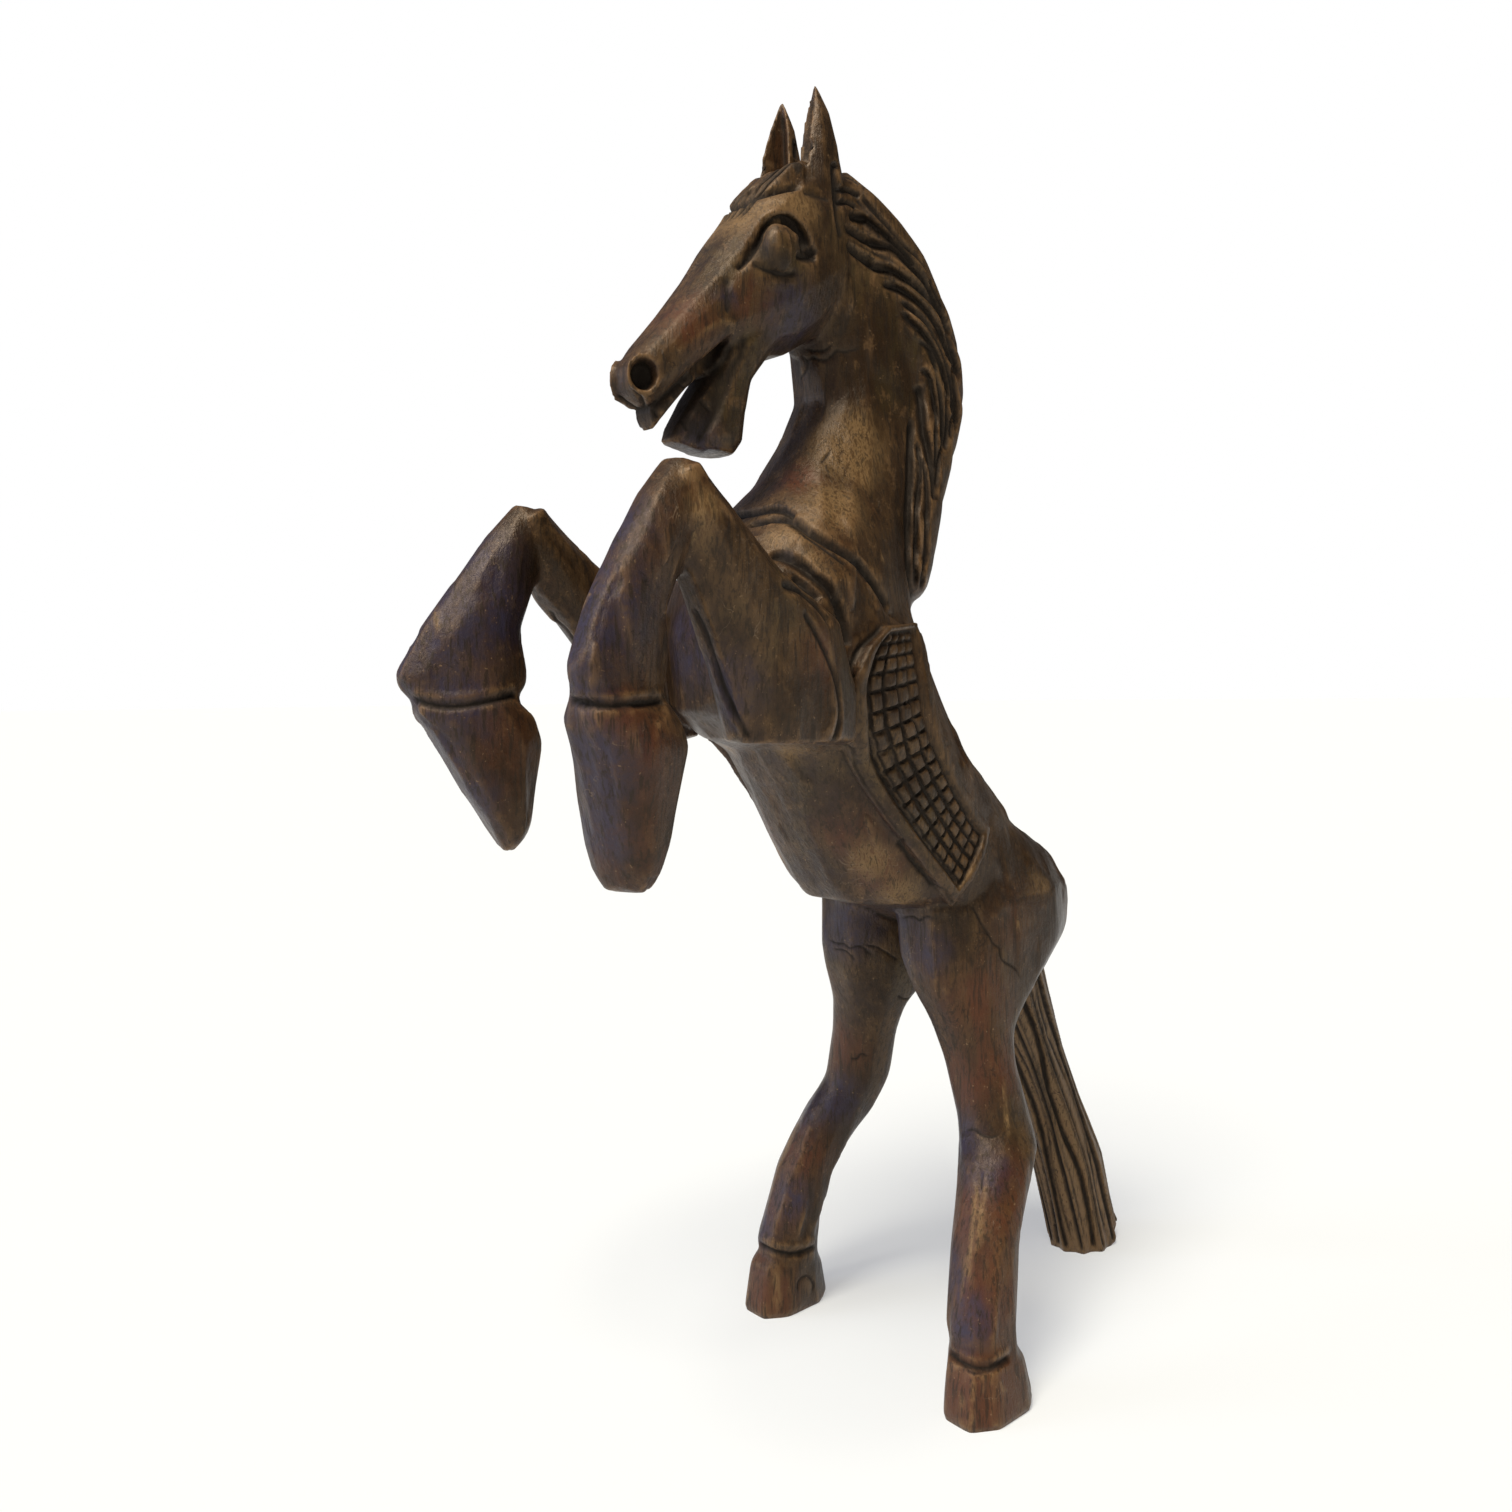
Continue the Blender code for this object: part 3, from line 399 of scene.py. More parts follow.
# %% Gaps between the locks
GAPS = (
    (0.0038, 0.0040, ((860, 196), (880, 218), (900, 240), (918, 258), (934, 288), (944, 312))),
    (0.0030, 0.0026, ((854, 196), (870, 216), (890, 238), (910, 256), (926, 278), (938, 300))),
    (0.0070, 0.0080, ((848, 215), (862, 219), (876, 228), (890, 239), (906, 252), (918, 268))),
    (0.0062, 0.0075, ((843, 228), (852, 231), (864, 239), (876, 245), (890, 248), (902, 256),
        (914, 268), (926, 282), (938, 306), (948, 330), (955, 350))),
    (0.0068, 0.0080, ((845, 244), (854, 251), (866, 260), (876, 267), (888, 270), (900, 276),
        (912, 282), (924, 292), (936, 308), (946, 328), (954, 354), (959, 380))),
    (0.0055, 0.0070, ((880, 284), (890, 286), (900, 290), (912, 298), (924, 308), (936, 324),
        (946, 346), (953, 370), (957, 400), (956, 430))),
    (0.0042, 0.0050, ((900, 300), (910, 308), (922, 318), (934, 336), (944, 356), (950, 378),
        (953, 402), (951, 440))),
    (0.0050, 0.0060, ((902, 310), (910, 322), (922, 332), (934, 350), (942, 368), (946, 388),
        (948, 415), (945, 450))),
    (0.0042, 0.0050, ((918, 340), (926, 346), (936, 370), (940, 390), (942, 415), (942, 445),
        (939, 467), (937, 490))),
    (0.0042, 0.0050, ((920, 368), (928, 376), (932, 392), (936, 412), (937, 440), (936, 470))),
    (0.0070, 0.0060, ((918, 384), (921, 405), (923, 430), (928, 452), (933, 475), (935, 500))),
    (0.0045, 0.0050, ((917, 440), (920, 467), (918, 492), (916, 520), (916, 555), (916, 590))),
    (0.0042, 0.0045, ((922, 455), (926, 480), (927, 517), (926, 555), (921, 592))),
    (0.0060, 0.0050, ((911, 417), (910, 450), (909, 490), (908, 530), (909, 570), (913, 610))),
    (0.0026, 0.0014, ((852, 205), (866, 212), (882, 226), (900, 243))),
    (0.0026, 0.0014, ((856, 226), (872, 234), (888, 243), (904, 258), (918, 276))),
    (0.0026, 0.0014, ((852, 240), (868, 250), (884, 258), (902, 268), (920, 284))),
    (0.0026, 0.0014, ((876, 275), (894, 281), (912, 290), (930, 308), (944, 336), (950, 360))),
    (0.0026, 0.0014, ((905, 305), (920, 312), (934, 330), (945, 352), (951, 380))),
    (0.0026, 0.0014, ((912, 328), (926, 338), (938, 362), (944, 388), (944, 420))),
)    # how wide and how deep each gap is, and where it runs in the picture
DEEP_GAP = 0.004           # gaps deeper than this have a raised lock above them
FULL_DARK = 0.005          # a gap this deep gets quite dark painted shade

# Each gap gets painted shade, darker the deeper it is
for width, depth, spots in GAPS:
    cut(drawn(spots), width, depth, dark=min(1.0, depth / FULL_DARK), ends=0.06, both=True)
    if depth > DEEP_GAP:
        ridge(drawn(shifted(spots[:-1], 3, -5)), 0.0060, 0.0014, ends=0.15, both=True)
print("gaps", len(GAPS))

# %% Lines over the crest
MANE = (
    (6.6, 112.4, 3.6, 113.6, 2.2), (6.4, 108.5, 0.6, 111.2, 4.3), (4.8, 104.0, -4.4, 106.8, 5.2),
    (3.6, 99.6, -8.6, 101.4, 5.6), (2.6, 95.5, -10.6, 96.6, 5.9), (2.0, 91.0, -10.4, 91.4, 6.1),
    (2.4, 86.0, -7.4, 85.2, 6.3), (3.2, 81.0, -5.0, 79.4, 6.5), (3.6, 76.4, -3.6, 74.8, 6.5),
    (1.4, 72.8, -3.0, 71.9, 4.6))    # cm: neck side x, z, crest side x, z, half width
CREST_STARTS = np.arange(-0.2, 0.95, 0.055)      # shares of the way from poll to withers
CREST_RUN = 0.30                                 # how far down the mane such a line runs


def around_ring(rings, along, turn):
    """A place on a form given by rings: along from first to last, turned in radians from its front."""
    front_x, front_z, back_x, back_z, wide = (np.interp(along, range(len(rings)), column)
                                              for column in zip(*rings))
    share = math.cos(turn)
    return skin.find_nearest(upright((front_x + back_x) / 2 + (front_x - back_x) / 2 * share,
                                     wide * math.sin(turn),
                                     (front_z + back_z) / 2 + (front_z - back_z) / 2 * share))[0]


def crest_line(start, which_side):
    """A line over the back of the mane to its crest, where the picture doesn't show it."""
    line = []
    for share in np.linspace(0, 1, 24):
        along = start + CREST_RUN * share
        if 0.02 < along < 0.98:
            turn = math.radians(130 + 50 * share ** 1.2) * which_side
            line.append(around_ring(MANE, along * (len(MANE) - 1), turn))
    return line


for which_side in (1, -1):
    for start in CREST_STARTS:
        deep = dice.uniform(0.0020, 0.0042)
        cut(crest_line(start + dice.uniform(-0.01, 0.01), which_side), 0.0040, deep, dark=0.8)
print("crest lines", 2 * len(CREST_STARTS))

# %% [markdown]
# ## Head
# The face is what one looks at first. The eye is a dome in a deep almond socket, the nostril a
# drilled oval with a soft rim, and the lips are ridges round the blocks of teeth. Each line is
# drawn where it shows, and repeated on the far side of the head.

# %% Eye
FRONT_LID = ((736, 270), (744, 262), (752, 253), (758, 243), (764, 230), (770, 222), (780, 217), (788, 218))
BACK_LID = ((782, 217), (793, 224), (801, 237), (808, 249), (815, 257))
BACK_LID_INNER = ((788, 220), (797, 231), (803, 243), (805, 255))
BACK_CORNER = ((797, 254), (803, 257), (810, 257), (816, 258))
LOWER_LID = ((752, 262), (763, 269), (775, 273), (788, 275), (799, 271))
BROW = ((741, 251), (750, 237), (758, 224), (768, 214), (782, 208))
EYE_RIDGE = ((787, 228), (790, 244), (789, 266))

cut(drawn(FRONT_LID), 0.0042, 0.0050, ends=0.06, both=True)
cut(drawn(BACK_LID), 0.0085, 0.0075, ends=0.06, both=True)
cut(drawn(BACK_LID_INNER), 0.0070, 0.0060, ends=0.05, both=True)
cut(drawn(BACK_CORNER), 0.0062, 0.0056, ends=0.05, both=True)
cut(drawn(LOWER_LID), 0.0040, 0.0022, dark=0.6, both=True)
ridge(drawn(BROW), 0.0080, 0.0020, both=True)
ridge(drawn(shifted(LOWER_LID, 0, 10)), 0.0090, 0.0014, both=True)
ridge(drawn(EYE_RIDGE), 0.0036, 0.0012, both=True)
print("eye cut")

# %% Cheek, lips and teeth
CHEEK_FOLD = ((727, 276), (727, 295), (728, 314))
UPPER_LIP = ((736, 333), (733, 323), (724, 321), (706, 330), (690, 343), (672, 356))
JAW_EDGE = ((744, 330), (742, 350), (733, 368), (724, 392), (712, 420), (694, 448))
LIP_LINE = ((614, 392), (627, 403), (640, 410), (652, 406), (668, 393), (685, 377), (704, 357), (720, 341))
TOOTH_CUTS = (((680, 383), (688, 394)), ((652, 410), (661, 421)), ((700, 401), (711, 412)),
              ((681, 421), (687, 431)))

cut(drawn(CHEEK_FOLD), 0.0070, 0.0024, dark=0.3, both=True)
ridge(drawn(UPPER_LIP), 0.0060, 0.0016, both=True)
cut(drawn(JAW_EDGE), 0.0060, 0.0018, dark=0.5, both=True)
cut(drawn(LIP_LINE), 0.0036, 0.0030, dark=0.8, both=True)
for spots in TOOTH_CUTS:
    cut(drawn(spots), 0.0024, 0.0020, ends=0.02, both=True)
print("tooth cuts", len(TOOTH_CUTS))

# %% Nostril, mouth and sockets get painted shade inside
SHADED_PLACES = (
    (0.010, 1.0, ((641, 371), (643, 364), (640, 378))),
    (0.011, 0.8, ((722, 352), (712, 368), (702, 383), (690, 400), (680, 415))),
    (0.008, 0.75, ((630, 411), (642, 418), (652, 414), (664, 403), (676, 392), (690, 380))),
    (0.010, 0.8, ((700, 390), (690, 403), (680, 417), (672, 430), (700, 408), (690, 424))),
    (0.010, 0.65, ((713, 398), (707, 418), (698, 434), (717, 380))),
    (0.007, 0.9, ((797, 120), (796, 145), (797, 165))),
    (0.013, 0.55, ((776, 262), (782, 262), (763, 256), (806, 252))))    # reach, darkness of the painted shade, spots


def distances_from(spot):
    """How far each point is from the place at this spot, and from the same place on the far side."""
    place = seen(*spot)
    if place is None:
        return []
    return [np.linalg.norm(points - np.array(centre), axis=1) for centre in (place, mirrored([place])[0])]


# Painted shade spreads round each spot and its twin on the far side
for reach, dark, spots in SHADED_PLACES:
    for spot in spots:
        for gap in distances_from(spot):
            painted_cut_shade[:] = np.maximum(painted_cut_shade, dark * (1 - ease(0.6, 1.0, gap / reach)))
print("dark share", round(float((painted_cut_shade > 0.5).mean()), 3))

# %% Forelock and ears
FORELOCK = ((10.6, 114.0, 0.7), (12.4, 113.4, 1.0), (15.2, 110.9, 0.95), (18.6, 106.4, 0.55))   # x, z, spread
LOCK_GAPS = (-2.9, -1.5, 0.0, 1.5, 2.9)                            # cm from the middle
STRANDS = (-2.4, -2.0, -1.0, -0.5, 0.5, 1.0, 2.0, 2.4)
FORELOCK_EDGE = ((801, 186), (780, 190), (751, 199), (724, 214))
EAR_RIDGE = ((808, 100), (804, 130), (801, 160), (803, 190))
EAR_HOLLOW = ((797, 108), (796, 130), (796, 150), (797, 168))
EAR_FOOT = ((802, 192), (813, 195), (828, 200))


def brow_line(y):
    """A line down the forelock, a distance from the middle."""
    spots = [(x, y * spread, z) for x, z, spread in FORELOCK]
    ways = [np.interp(np.linspace(0, 3, 30), range(4), column) for column in zip(*spots)]
    return [skin.find_nearest(upright(*place))[0] for place in zip(*ways)]


for y in LOCK_GAPS:
    cut(brow_line(y), 0.0050, 0.0055, dark=1.0, ends=0.10)
for y in STRANDS:
    cut(brow_line(y), 0.0026, 0.0014, dark=0.5, ends=0.15)
cut(drawn(FORELOCK_EDGE), 0.0055, 0.0055, ends=0.08, both=True)
ridge(drawn(EAR_RIDGE), 0.0035, 0.0014, both=True)
cut(drawn(EAR_HOLLOW), 0.0055, 0.0036, both=True)
cut(drawn(EAR_FOOT), 0.0050, 0.0016, dark=0.5, both=True)
print("forelock lines", len(LOCK_GAPS) + len(STRANDS))

# %% Tufts behind the ears
TUFT_GAPS = (
    ((833, 166), (846, 163), (857, 169)), ((834, 178), (848, 177), (860, 184)),
    ((835, 190), (847, 190), (860, 197)), ((836, 203), (847, 202), (856, 208)))
TUFT_EDGE = ((833, 160), (835, 190), (837, 215), (841, 240))

for spots in TUFT_GAPS:
    cut(drawn(spots), 0.0042, 0.0044, ends=0.1, both=True)
cut(drawn(TUFT_EDGE), 0.0055, 0.0040, dark=0.9, both=True)
print("tuft gaps", len(TUFT_GAPS))

# %% [markdown]
# ## Harness and blanket
# Two grooves run round the base of the neck as a breast strap, a third follows the shoulder,
# and the blanket has a raised rolled edge round its squares. The solid has these forms with
# plain edges. Here they are cut deeper and crisper, as a V tool finishes them.

# %% Harness grooves
STRAPS = (
    (0.0062, 0.0054, ((732, 518), (757, 512), (782, 510), (794, 516))),
    (0.0078, 0.0070, ((732, 527), (757, 522), (789, 519), (810, 532), (833, 546), (851, 557),
        (870, 578), (889, 609))),
    (0.0080, 0.0072, ((766, 553), (782, 556), (796, 562), (814, 576), (833, 595), (842, 620),
        (846, 653))),
    (0.0026, 0.0012, ((789, 524), (806, 537), (826, 551), (846, 566))),
)    # width, depth and spots
RECESS = ((780, 577), (794, 580), (808, 590), (820, 606), (830, 624))      # leaf-shaped
RECESS_LOWER = ((780, 584), (794, 587), (808, 597), (820, 609.5), (830, 624))
ELBOWS = (
    (0.0050, 0.0030, ((747, 737), (761, 749), (784, 754), (819, 753), (833, 742), (840, 722),
        (836, 680), (820, 640), (803, 610))),
    (0.0045, 0.0024, ((692, 606), (703, 627), (715, 662), (727, 697), (740, 722), (750, 740))),
)    # round the elbow and up the shoulder

for width, depth, spots in STRAPS:
    cut(drawn(spots), width, depth, ends=0.04, both=True)
for spots in (RECESS, RECESS_LOWER):
    cut(drawn(spots), 0.0074, 0.0052, both=True)
for width, depth, spots in ELBOWS:
    cut(drawn(spots), width, depth, dark=0.7, ends=0.06, both=True)
    ridge(drawn(shifted(spots[2:7], -6, -4)), 0.0060, 0.0012, both=True)
print("harness lines", len(STRAPS) + len(ELBOWS) + 2)

# %% Blanket's squares and edge
FRONT = ((8.8, 70.0), (12.0, 67.8), (13.4, 64.6), (12.2, 60.4), (9.2, 56.4), (5.9, 52.6), (2.6, 49.0),
         (-0.2, 46.2), (-2.4, 44.2))
BACK = ((3.4, 70.4), (2.4, 68.8), (2.0, 66.2), (1.8, 63.2), (0.9, 60.4), (-0.6, 57.7), (-2.4, 55.4),
        (-4.4, 53.2), (-6.6, 51.2))
COLUMNS, ROWS = 4, 16
RIM_ACROSS, RIM_DOWN = 0.205, 0.0515      # the rolled edge, as shares of the blanket
RIM_TOP, RIM_BOTTOM = 0.04, 0.96          # where the lines along the rolled edge end
OUTSIDE = 0.3                             # metres from the middle, clear of the horse


def on_blanket(across, down, which_side):
    """A place on the blanket, across from its front edge and down from its top."""
    last = len(FRONT) - 1
    edges = [np.array([np.interp(down * last, range(last + 1), column) for column in zip(*edge)])
             for edge in (FRONT, BACK)]
    x, z = edges[0] + (edges[1] - edges[0]) * across
    start = upright(x, 0, z) + Vector((0, OUTSIDE * which_side, 0))
    return skin.ray_cast(start, Vector((0, -which_side, 0)))[0]


def down_line(across, which_side, top=0, bottom=1):
    """A line down the blanket."""
    return [on_blanket(across, down, which_side) for down in np.linspace(top, bottom, 60)]


def across_line(down, which_side):
    """A line across the blanket's squares."""
    return [on_blanket(across, down, which_side) for across in np.linspace(RIM_ACROSS, 1 - RIM_ACROSS, 12)]


for which_side in (1, -1):
    for i in range(COLUMNS + 1):
        across = RIM_ACROSS + (1 - 2 * RIM_ACROSS) * i / COLUMNS
        cut(down_line(across, which_side, RIM_DOWN, 1 - RIM_DOWN), 0.0025, 0.0026, ends=0)
    for j in range(ROWS + 1):
        down = RIM_DOWN + (1 - 2 * RIM_DOWN) * j / ROWS
        cut(across_line(down, which_side), 0.0025, 0.0026, ends=0)
    for across in (-0.01, 1.02):
        cut(down_line(across, which_side), 0.0036, 0.0020, dark=0.5, ends=0.04)
    ridge(down_line(0.4 * RIM_ACROSS, which_side, RIM_TOP, RIM_BOTTOM), 0.0060, 0.0012)
    cut(down_line(0.8 * RIM_ACROSS, which_side, RIM_TOP, RIM_BOTTOM), 0.0022, 0.0012, dark=0.6)
print("squares", COLUMNS * ROWS)

# %% [markdown]
# ## Legs and hooves
# A V cut parts each hoof from its pastern, and the cannons keep the long ridges of the gouge.
# A few ridges drawn along the limbs are enough, because the facets already break the light.

# %% Legs and hooves
HOOF_CUTS = (
    ((567, 700), (600, 705), (640, 703), (664, 701)),
    ((413, 700), (440, 706), (480, 703), (516, 694)),
    ((757, 1243), (775, 1252), (797, 1254), (815, 1247)),
    ((949, 1352), (965, 1364), (990, 1368), (1010, 1358)),
)
CLEFT = ((798, 1293), (799, 1281), (806, 1276), (813, 1282), (812, 1294))
LIMB_RIDGES = (
    ((660, 462), (640, 510), (620, 570), (600, 650), (597, 690)),
    ((592, 712), (598, 760), (604, 820), (610, 880)),
    ((905, 1010), (935, 1100), (962, 1150), (975, 1220), (972, 1300)),
    ((823, 1100), (800, 1160), (775, 1230)),
    ((505, 530), (470, 600), (440, 660)),
    ((777, 1258), (777, 1290), (777, 1319)),
    ((975, 1378), (972, 1410), (970, 1425)),
)

for spots in HOOF_CUTS:
    cut(drawn(spots), 0.0050, 0.0034, dark=0.9, ends=0.03)
    ridge(drawn(shifted(spots, 0, -9)), 0.0060, 0.0016, ends=0.03)
cut(drawn(CLEFT), 0.0026, 0.0014, dark=0.6)
for spots in LIMB_RIDGES:
    ridge(drawn(spots), 0.0080, 0.0009)
print("hooves", len(HOOF_CUTS), "ridges", len(LIMB_RIDGES))

# %% [markdown]
# ## Tail
# The tail is a straight bundle of hair, carved as flutes that run its whole length. The rings
# of the solid's tail give the place of each flute. A little chance in turn and bend keeps them
# from looking machined, and a fine strand beside each flute breaks up the ridge between two.

# %% Tail flutes
TAIL = ((-15.0, 35.0, -25.2, 38.2, 4.75), (-19.4, 29.0, -28.0, 31.2, 4.1), (-23.0, 23.2, -30.8, 24.8, 3.8),
        (-26.2, 17.0, -34.3, 18.0, 3.8), (-29.2, 9.4, -38.4, 11.0, 3.9),
        (-32.4, 0.2, -42.0, 0.2, 3.8))    # cm: front x, z, back x, z, half width
FLUTES = 17


def tail_line(turn):
    """A line down the tail at a turn round it, in radians from its front."""
    return [around_ring(TAIL, down, turn + 0.05 * math.sin(2.1 * down + 5 * turn))
            for down in np.linspace(0, len(TAIL) - 1, 50)]


for number in range(FLUTES):
    turn = math.pi * (2 * number + 1.5) / FLUTES + dice.uniform(-0.04, 0.04)
    cut(tail_line(turn), 0.0042, 0.0044, ends=0.02)
    cut(tail_line(turn + dice.uniform(0.14, 0.24)), 0.0026, 0.0012, dark=0.5, ends=0.1)
print("flutes", FLUTES)

# %% [markdown]
# ## Checks and cracks
# The block dried and opened along its grain. A few clear cracks show: a rough one under the
# jaw, some across the thigh and the hock, and many short ones on the belly. They are cut as
# thin lines that wander a little. The finest ones are left to the wood's material.

# %% Cracks
CRACKS = (
    ((800, 366), (812, 358), (825, 360), (838, 350), (852, 352), (866, 345)),
    ((798, 352), (806, 362), (803, 374), (797, 384)),
    ((805, 350), (820, 352), (835, 343)),
    ((965, 900), (985, 928), (1002, 955), (1025, 985)),
    ((962, 1133), (975, 1130), (985, 1137), (1000, 1133)),
    ((825, 935), (840, 945), (860, 948), (878, 958)),
    ((832, 948), (848, 952), (858, 962)),
    ((862, 944), (880, 950), (905, 962)),
    ((895, 995), (905, 1000), (915, 990)),
    ((850, 1060), (862, 1055), (873, 1058)),
    ((858, 903), (880, 912), (905, 918), (940, 918)),
    ((950, 1352), (962, 1366), (985, 1372), (1002, 1362)),
    ((830, 450), (822, 462)),
)
WANDER = 2                 # how far a crack strays, in the picture's squares

for spots in CRACKS:
    wander = [(px + dice.uniform(-WANDER, WANDER), py + dice.uniform(-WANDER, WANDER))
              for px, py in rounded_line(spots)[::3]]
    if len(wander) > 1:
        cut(drawn(wander), 0.0019, 0.0014, dark=0.75, ends=0.2)
print("cracks", len(CRACKS))

# %% Apply all cuts
normals = normals_of(points)
points = points + normals * relaxed(raised - lowered, 1, 0.3)[:, None]
normals = normals_of(points)
print("deepest", round(float(lowered.max()) * 1000, 1), "mm")

# %% [markdown]
# ## Painted shade in hollows, and wear on edges
# Hollows and cuts are painted with shade, and hands polish the edges. Both follow the shape, so they
# are measured from it: how far each point lies below or above its smoothed surroundings.

# %% Hollows and edges
close_by = np.einsum("ij,ij->i", points - relaxed(points, 6), normals)
around = np.einsum("ij,ij->i", points - relaxed(points, 60), normals)
small_hollow = ease(0.00012, 0.0007, -relaxed(close_by, 1))
wide_hollow = 0.7 * ease(0.0008, 0.0038, -around)
# Painted shade in small and wide hollows and in the cuts
hollow_shade = np.clip(small_hollow + wide_hollow + painted_cut_shade, 0, 1)
small_edge = 0.8 * ease(0.00006, 0.0004, relaxed(close_by, 1))
wide_edge = 0.5 * ease(0.0006, 0.003, around)
worn = np.clip(small_edge + wide_edge, 0, 1) * (1 - painted_cut_shade)
worn *= 1 - 0.7 * in_flap
worn = np.maximum(worn, 0.95 * in_tail * (1 - hollow_shade))
print("dark share", round(float(hollow_shade.mean()), 3), "worn share", round(float(worn.mean()), 3))

# %% [markdown]
# ## Patches of colour, painted highlights and painted shade
# Old wood is never one colour: it is reddish on cheek and hind legs. Pale patches are painted
# highlights, mainly on neck, forehead and nose ridge. Dark patches are painted shade on shaded
# places such as chest, rump, eye, mouth and throat, and bluish patches are a painted cool
# reflection and shade on the cheek hollow, chest and legs. Noise alone would put these anywhere, so
# soft round marks are laid where they belong, and repeated on the far side. Fine pale scratches lie over
# them.

# %% Patches
PATCHES = {
    # painted shade on shaded places and in recesses
    "dark": (
        (470, 790, 0.08), (440, 740, 0.05), (600, 800, 0.07), (610, 860, 0.06), (480, 560, 0.06),
        (420, 660, 0.05), (500, 620, 0.05), (600, 660, 0.05), (590, 610, 0.04), (1045, 940, 0.09),
        (1000, 890, 0.07), (1050, 870, 0.07), (1050, 1000, 0.05), (960, 750, 0.03), (985, 800, 0.03),
        (960, 940, 0.05), (800, 870, 0.04), (760, 820, 0.03), (640, 600, 0.03), (805, 700, 0.05),
        (845, 800, 0.05), (808, 352, 0.022), (893, 700, 0.05), (905, 790, 0.05), (690, 650, 0.05),
        (730, 640, 0.03), (870, 1000, 0.04), (600, 790, 0.06), (480, 780, 0.07), (975, 1150, 0.03),
        (860, 640, 0.04), (780, 262, 0.012), (700, 420, 0.03), (900, 560, 0.04)),
    # painted cool reflection and shade
    "bluish": (
        (795, 315, 0.045), (728, 295, 0.012), (690, 640, 0.06), (720, 690, 0.05), (850, 930, 0.05),
        (590, 640, 0.035), (585, 690, 0.03), (440, 620, 0.08), (925, 950, 0.035), (985, 1170, 0.035),
        (968, 1320, 0.035), (790, 1200, 0.035), (455, 700, 0.05), (480, 560, 0.05), (500, 610, 0.05),
        (440, 750, 0.05), (470, 820, 0.04), (590, 760, 0.04), (597, 830, 0.04), (575, 650, 0.035),
        (572, 690, 0.02), (600, 600, 0.025), (700, 440, 0.03), (980, 610, 0.02), (840, 1100, 0.04)),
    "reddish": (
        (755, 300, 0.035), (690, 320, 0.04), (650, 760, 0.045), (655, 800, 0.035), (640, 860, 0.035),
        (820, 660, 0.035), (985, 1000, 0.06), (1000, 1060, 0.05), (1010, 1200, 0.06), (990, 1290, 0.06),
        (985, 1400, 0.07), (960, 1080, 0.05), (800, 1150, 0.05), (770, 1300, 0.05), (620, 720, 0.04),
        (620, 860, 0.05), (490, 760, 0.05), (1020, 920, 0.05), (800, 480, 0.03), (850, 830, 0.05),
        (880, 870, 0.04), (780, 1290, 0.02)),
    # painted highlights on brow, nose ridge, neck and belly
    "pale": (
        (850, 450, 0.055), (835, 505, 0.045), (775, 538, 0.018), (740, 215, 0.028), (790, 200, 0.025),
        (705, 505, 0.022), (690, 470, 0.015), (815, 560, 0.018), (855, 430, 0.035), (860, 470, 0.03),
        (770, 205, 0.032), (800, 205, 0.03), (735, 222, 0.03), (700, 245, 0.03), (670, 290, 0.025),
        (640, 330, 0.02), (1045, 885, 0.012), (790, 750, 0.02), (870, 860, 0.03), (900, 895, 0.03),
        (800, 530, 0.03)),
}    # spot in the picture, and how far it reaches in metres
tints = {}
for name, patches in PATCHES.items():
    weight = np.zeros(count)
    for px, py, reach in patches:
        for gap in distances_from((px, py)):
            weight = np.maximum(weight, 1 - ease(0.2, 1.0, gap / reach))
    tints[name] = weight
# Faces turned down or forward get a painted cool reflection and shade
cool_shade_facing = ease(0.15, 0.75, -broad[:, 2]) + 0.5 * ease(0.5, 0.95, broad[:, 0])
tints["bluish"] = np.clip(tints["bluish"] + 0.22 * cool_shade_facing, 0, 1)
# The tail's ridges are pale, partly their own lighter colour, partly a painted highlight on a tail in shade
tints["pale"] = np.maximum(tints["pale"], in_tail * (1 - hollow_shade))
worn *= 1 - 0.55 * np.maximum(tints["dark"], tints["bluish"])
for name in PATCHES:
    print(name, round(float(tints[name].mean()), 3))

# %% Scratches
SCRATCHES = (
    ((811, 545), (815, 555), (822, 565), (830, 573), (836, 580)),
    ((683, 520), (687, 510), (693, 500)),
    ((704, 521), (707, 512), (710, 505)),
    ((697, 525), (694, 536), (693, 548)),
    ((690, 500), (700, 512), (704, 530)),
    ((1012, 930), (1024, 916), (1037, 905)),
    ((956, 894), (965, 878), (975, 867), (994, 857)),
    ((981, 1165), (976, 1200), (972, 1241), (968, 1293)),
    ((986, 1170), (981, 1215), (977, 1255)),
    ((878, 552), (884, 560), (888, 572)),
    ((1003, 1070), (1005, 1100), (1010, 1140)),
    ((846, 520), (858, 535), (864, 548)),
    ((777, 1262), (777, 1290), (778, 1315)),
    ((963, 1385), (961, 1405), (962, 1425)),
    ((1001, 1380), (1004, 1400)),
    ((440, 590), (436, 612), (438, 630)),
    ((828, 640), (832, 660), (834, 676)),
    ((808, 90), (804, 120), (802, 150)),
    ((736, 325), (726, 321), (712, 326), (700, 335)),
    ((770, 208), (785, 203), (799, 195)),
)
SCRATCH = 0.0026           # half the width of a scratch, with its soft edge

for spots in SCRATCHES:
    near_side = drawn(spots)
    for line in (near_side, mirrored(near_side)):
        if len(line) > 1:
            which, gap, along = beside(line, SCRATCH)
            strength = (1 - gap / SCRATCH) * ease(0, 0.3, along) * ease(0, 0.3, 1 - along)
            tints["pale"][which] = np.maximum(tints["pale"][which], 1.4 * strength)
print("scratches", len(SCRATCHES))

# %% [markdown]
# ## Thin the skin
# Flat places don't need such small faces. The Decimate modifier joins them where the skin is
# flat and keeps them where it is carved. The marks are then read back from the nearest point.

# %% Thin the skin
MOST_TRIANGLES = 195000

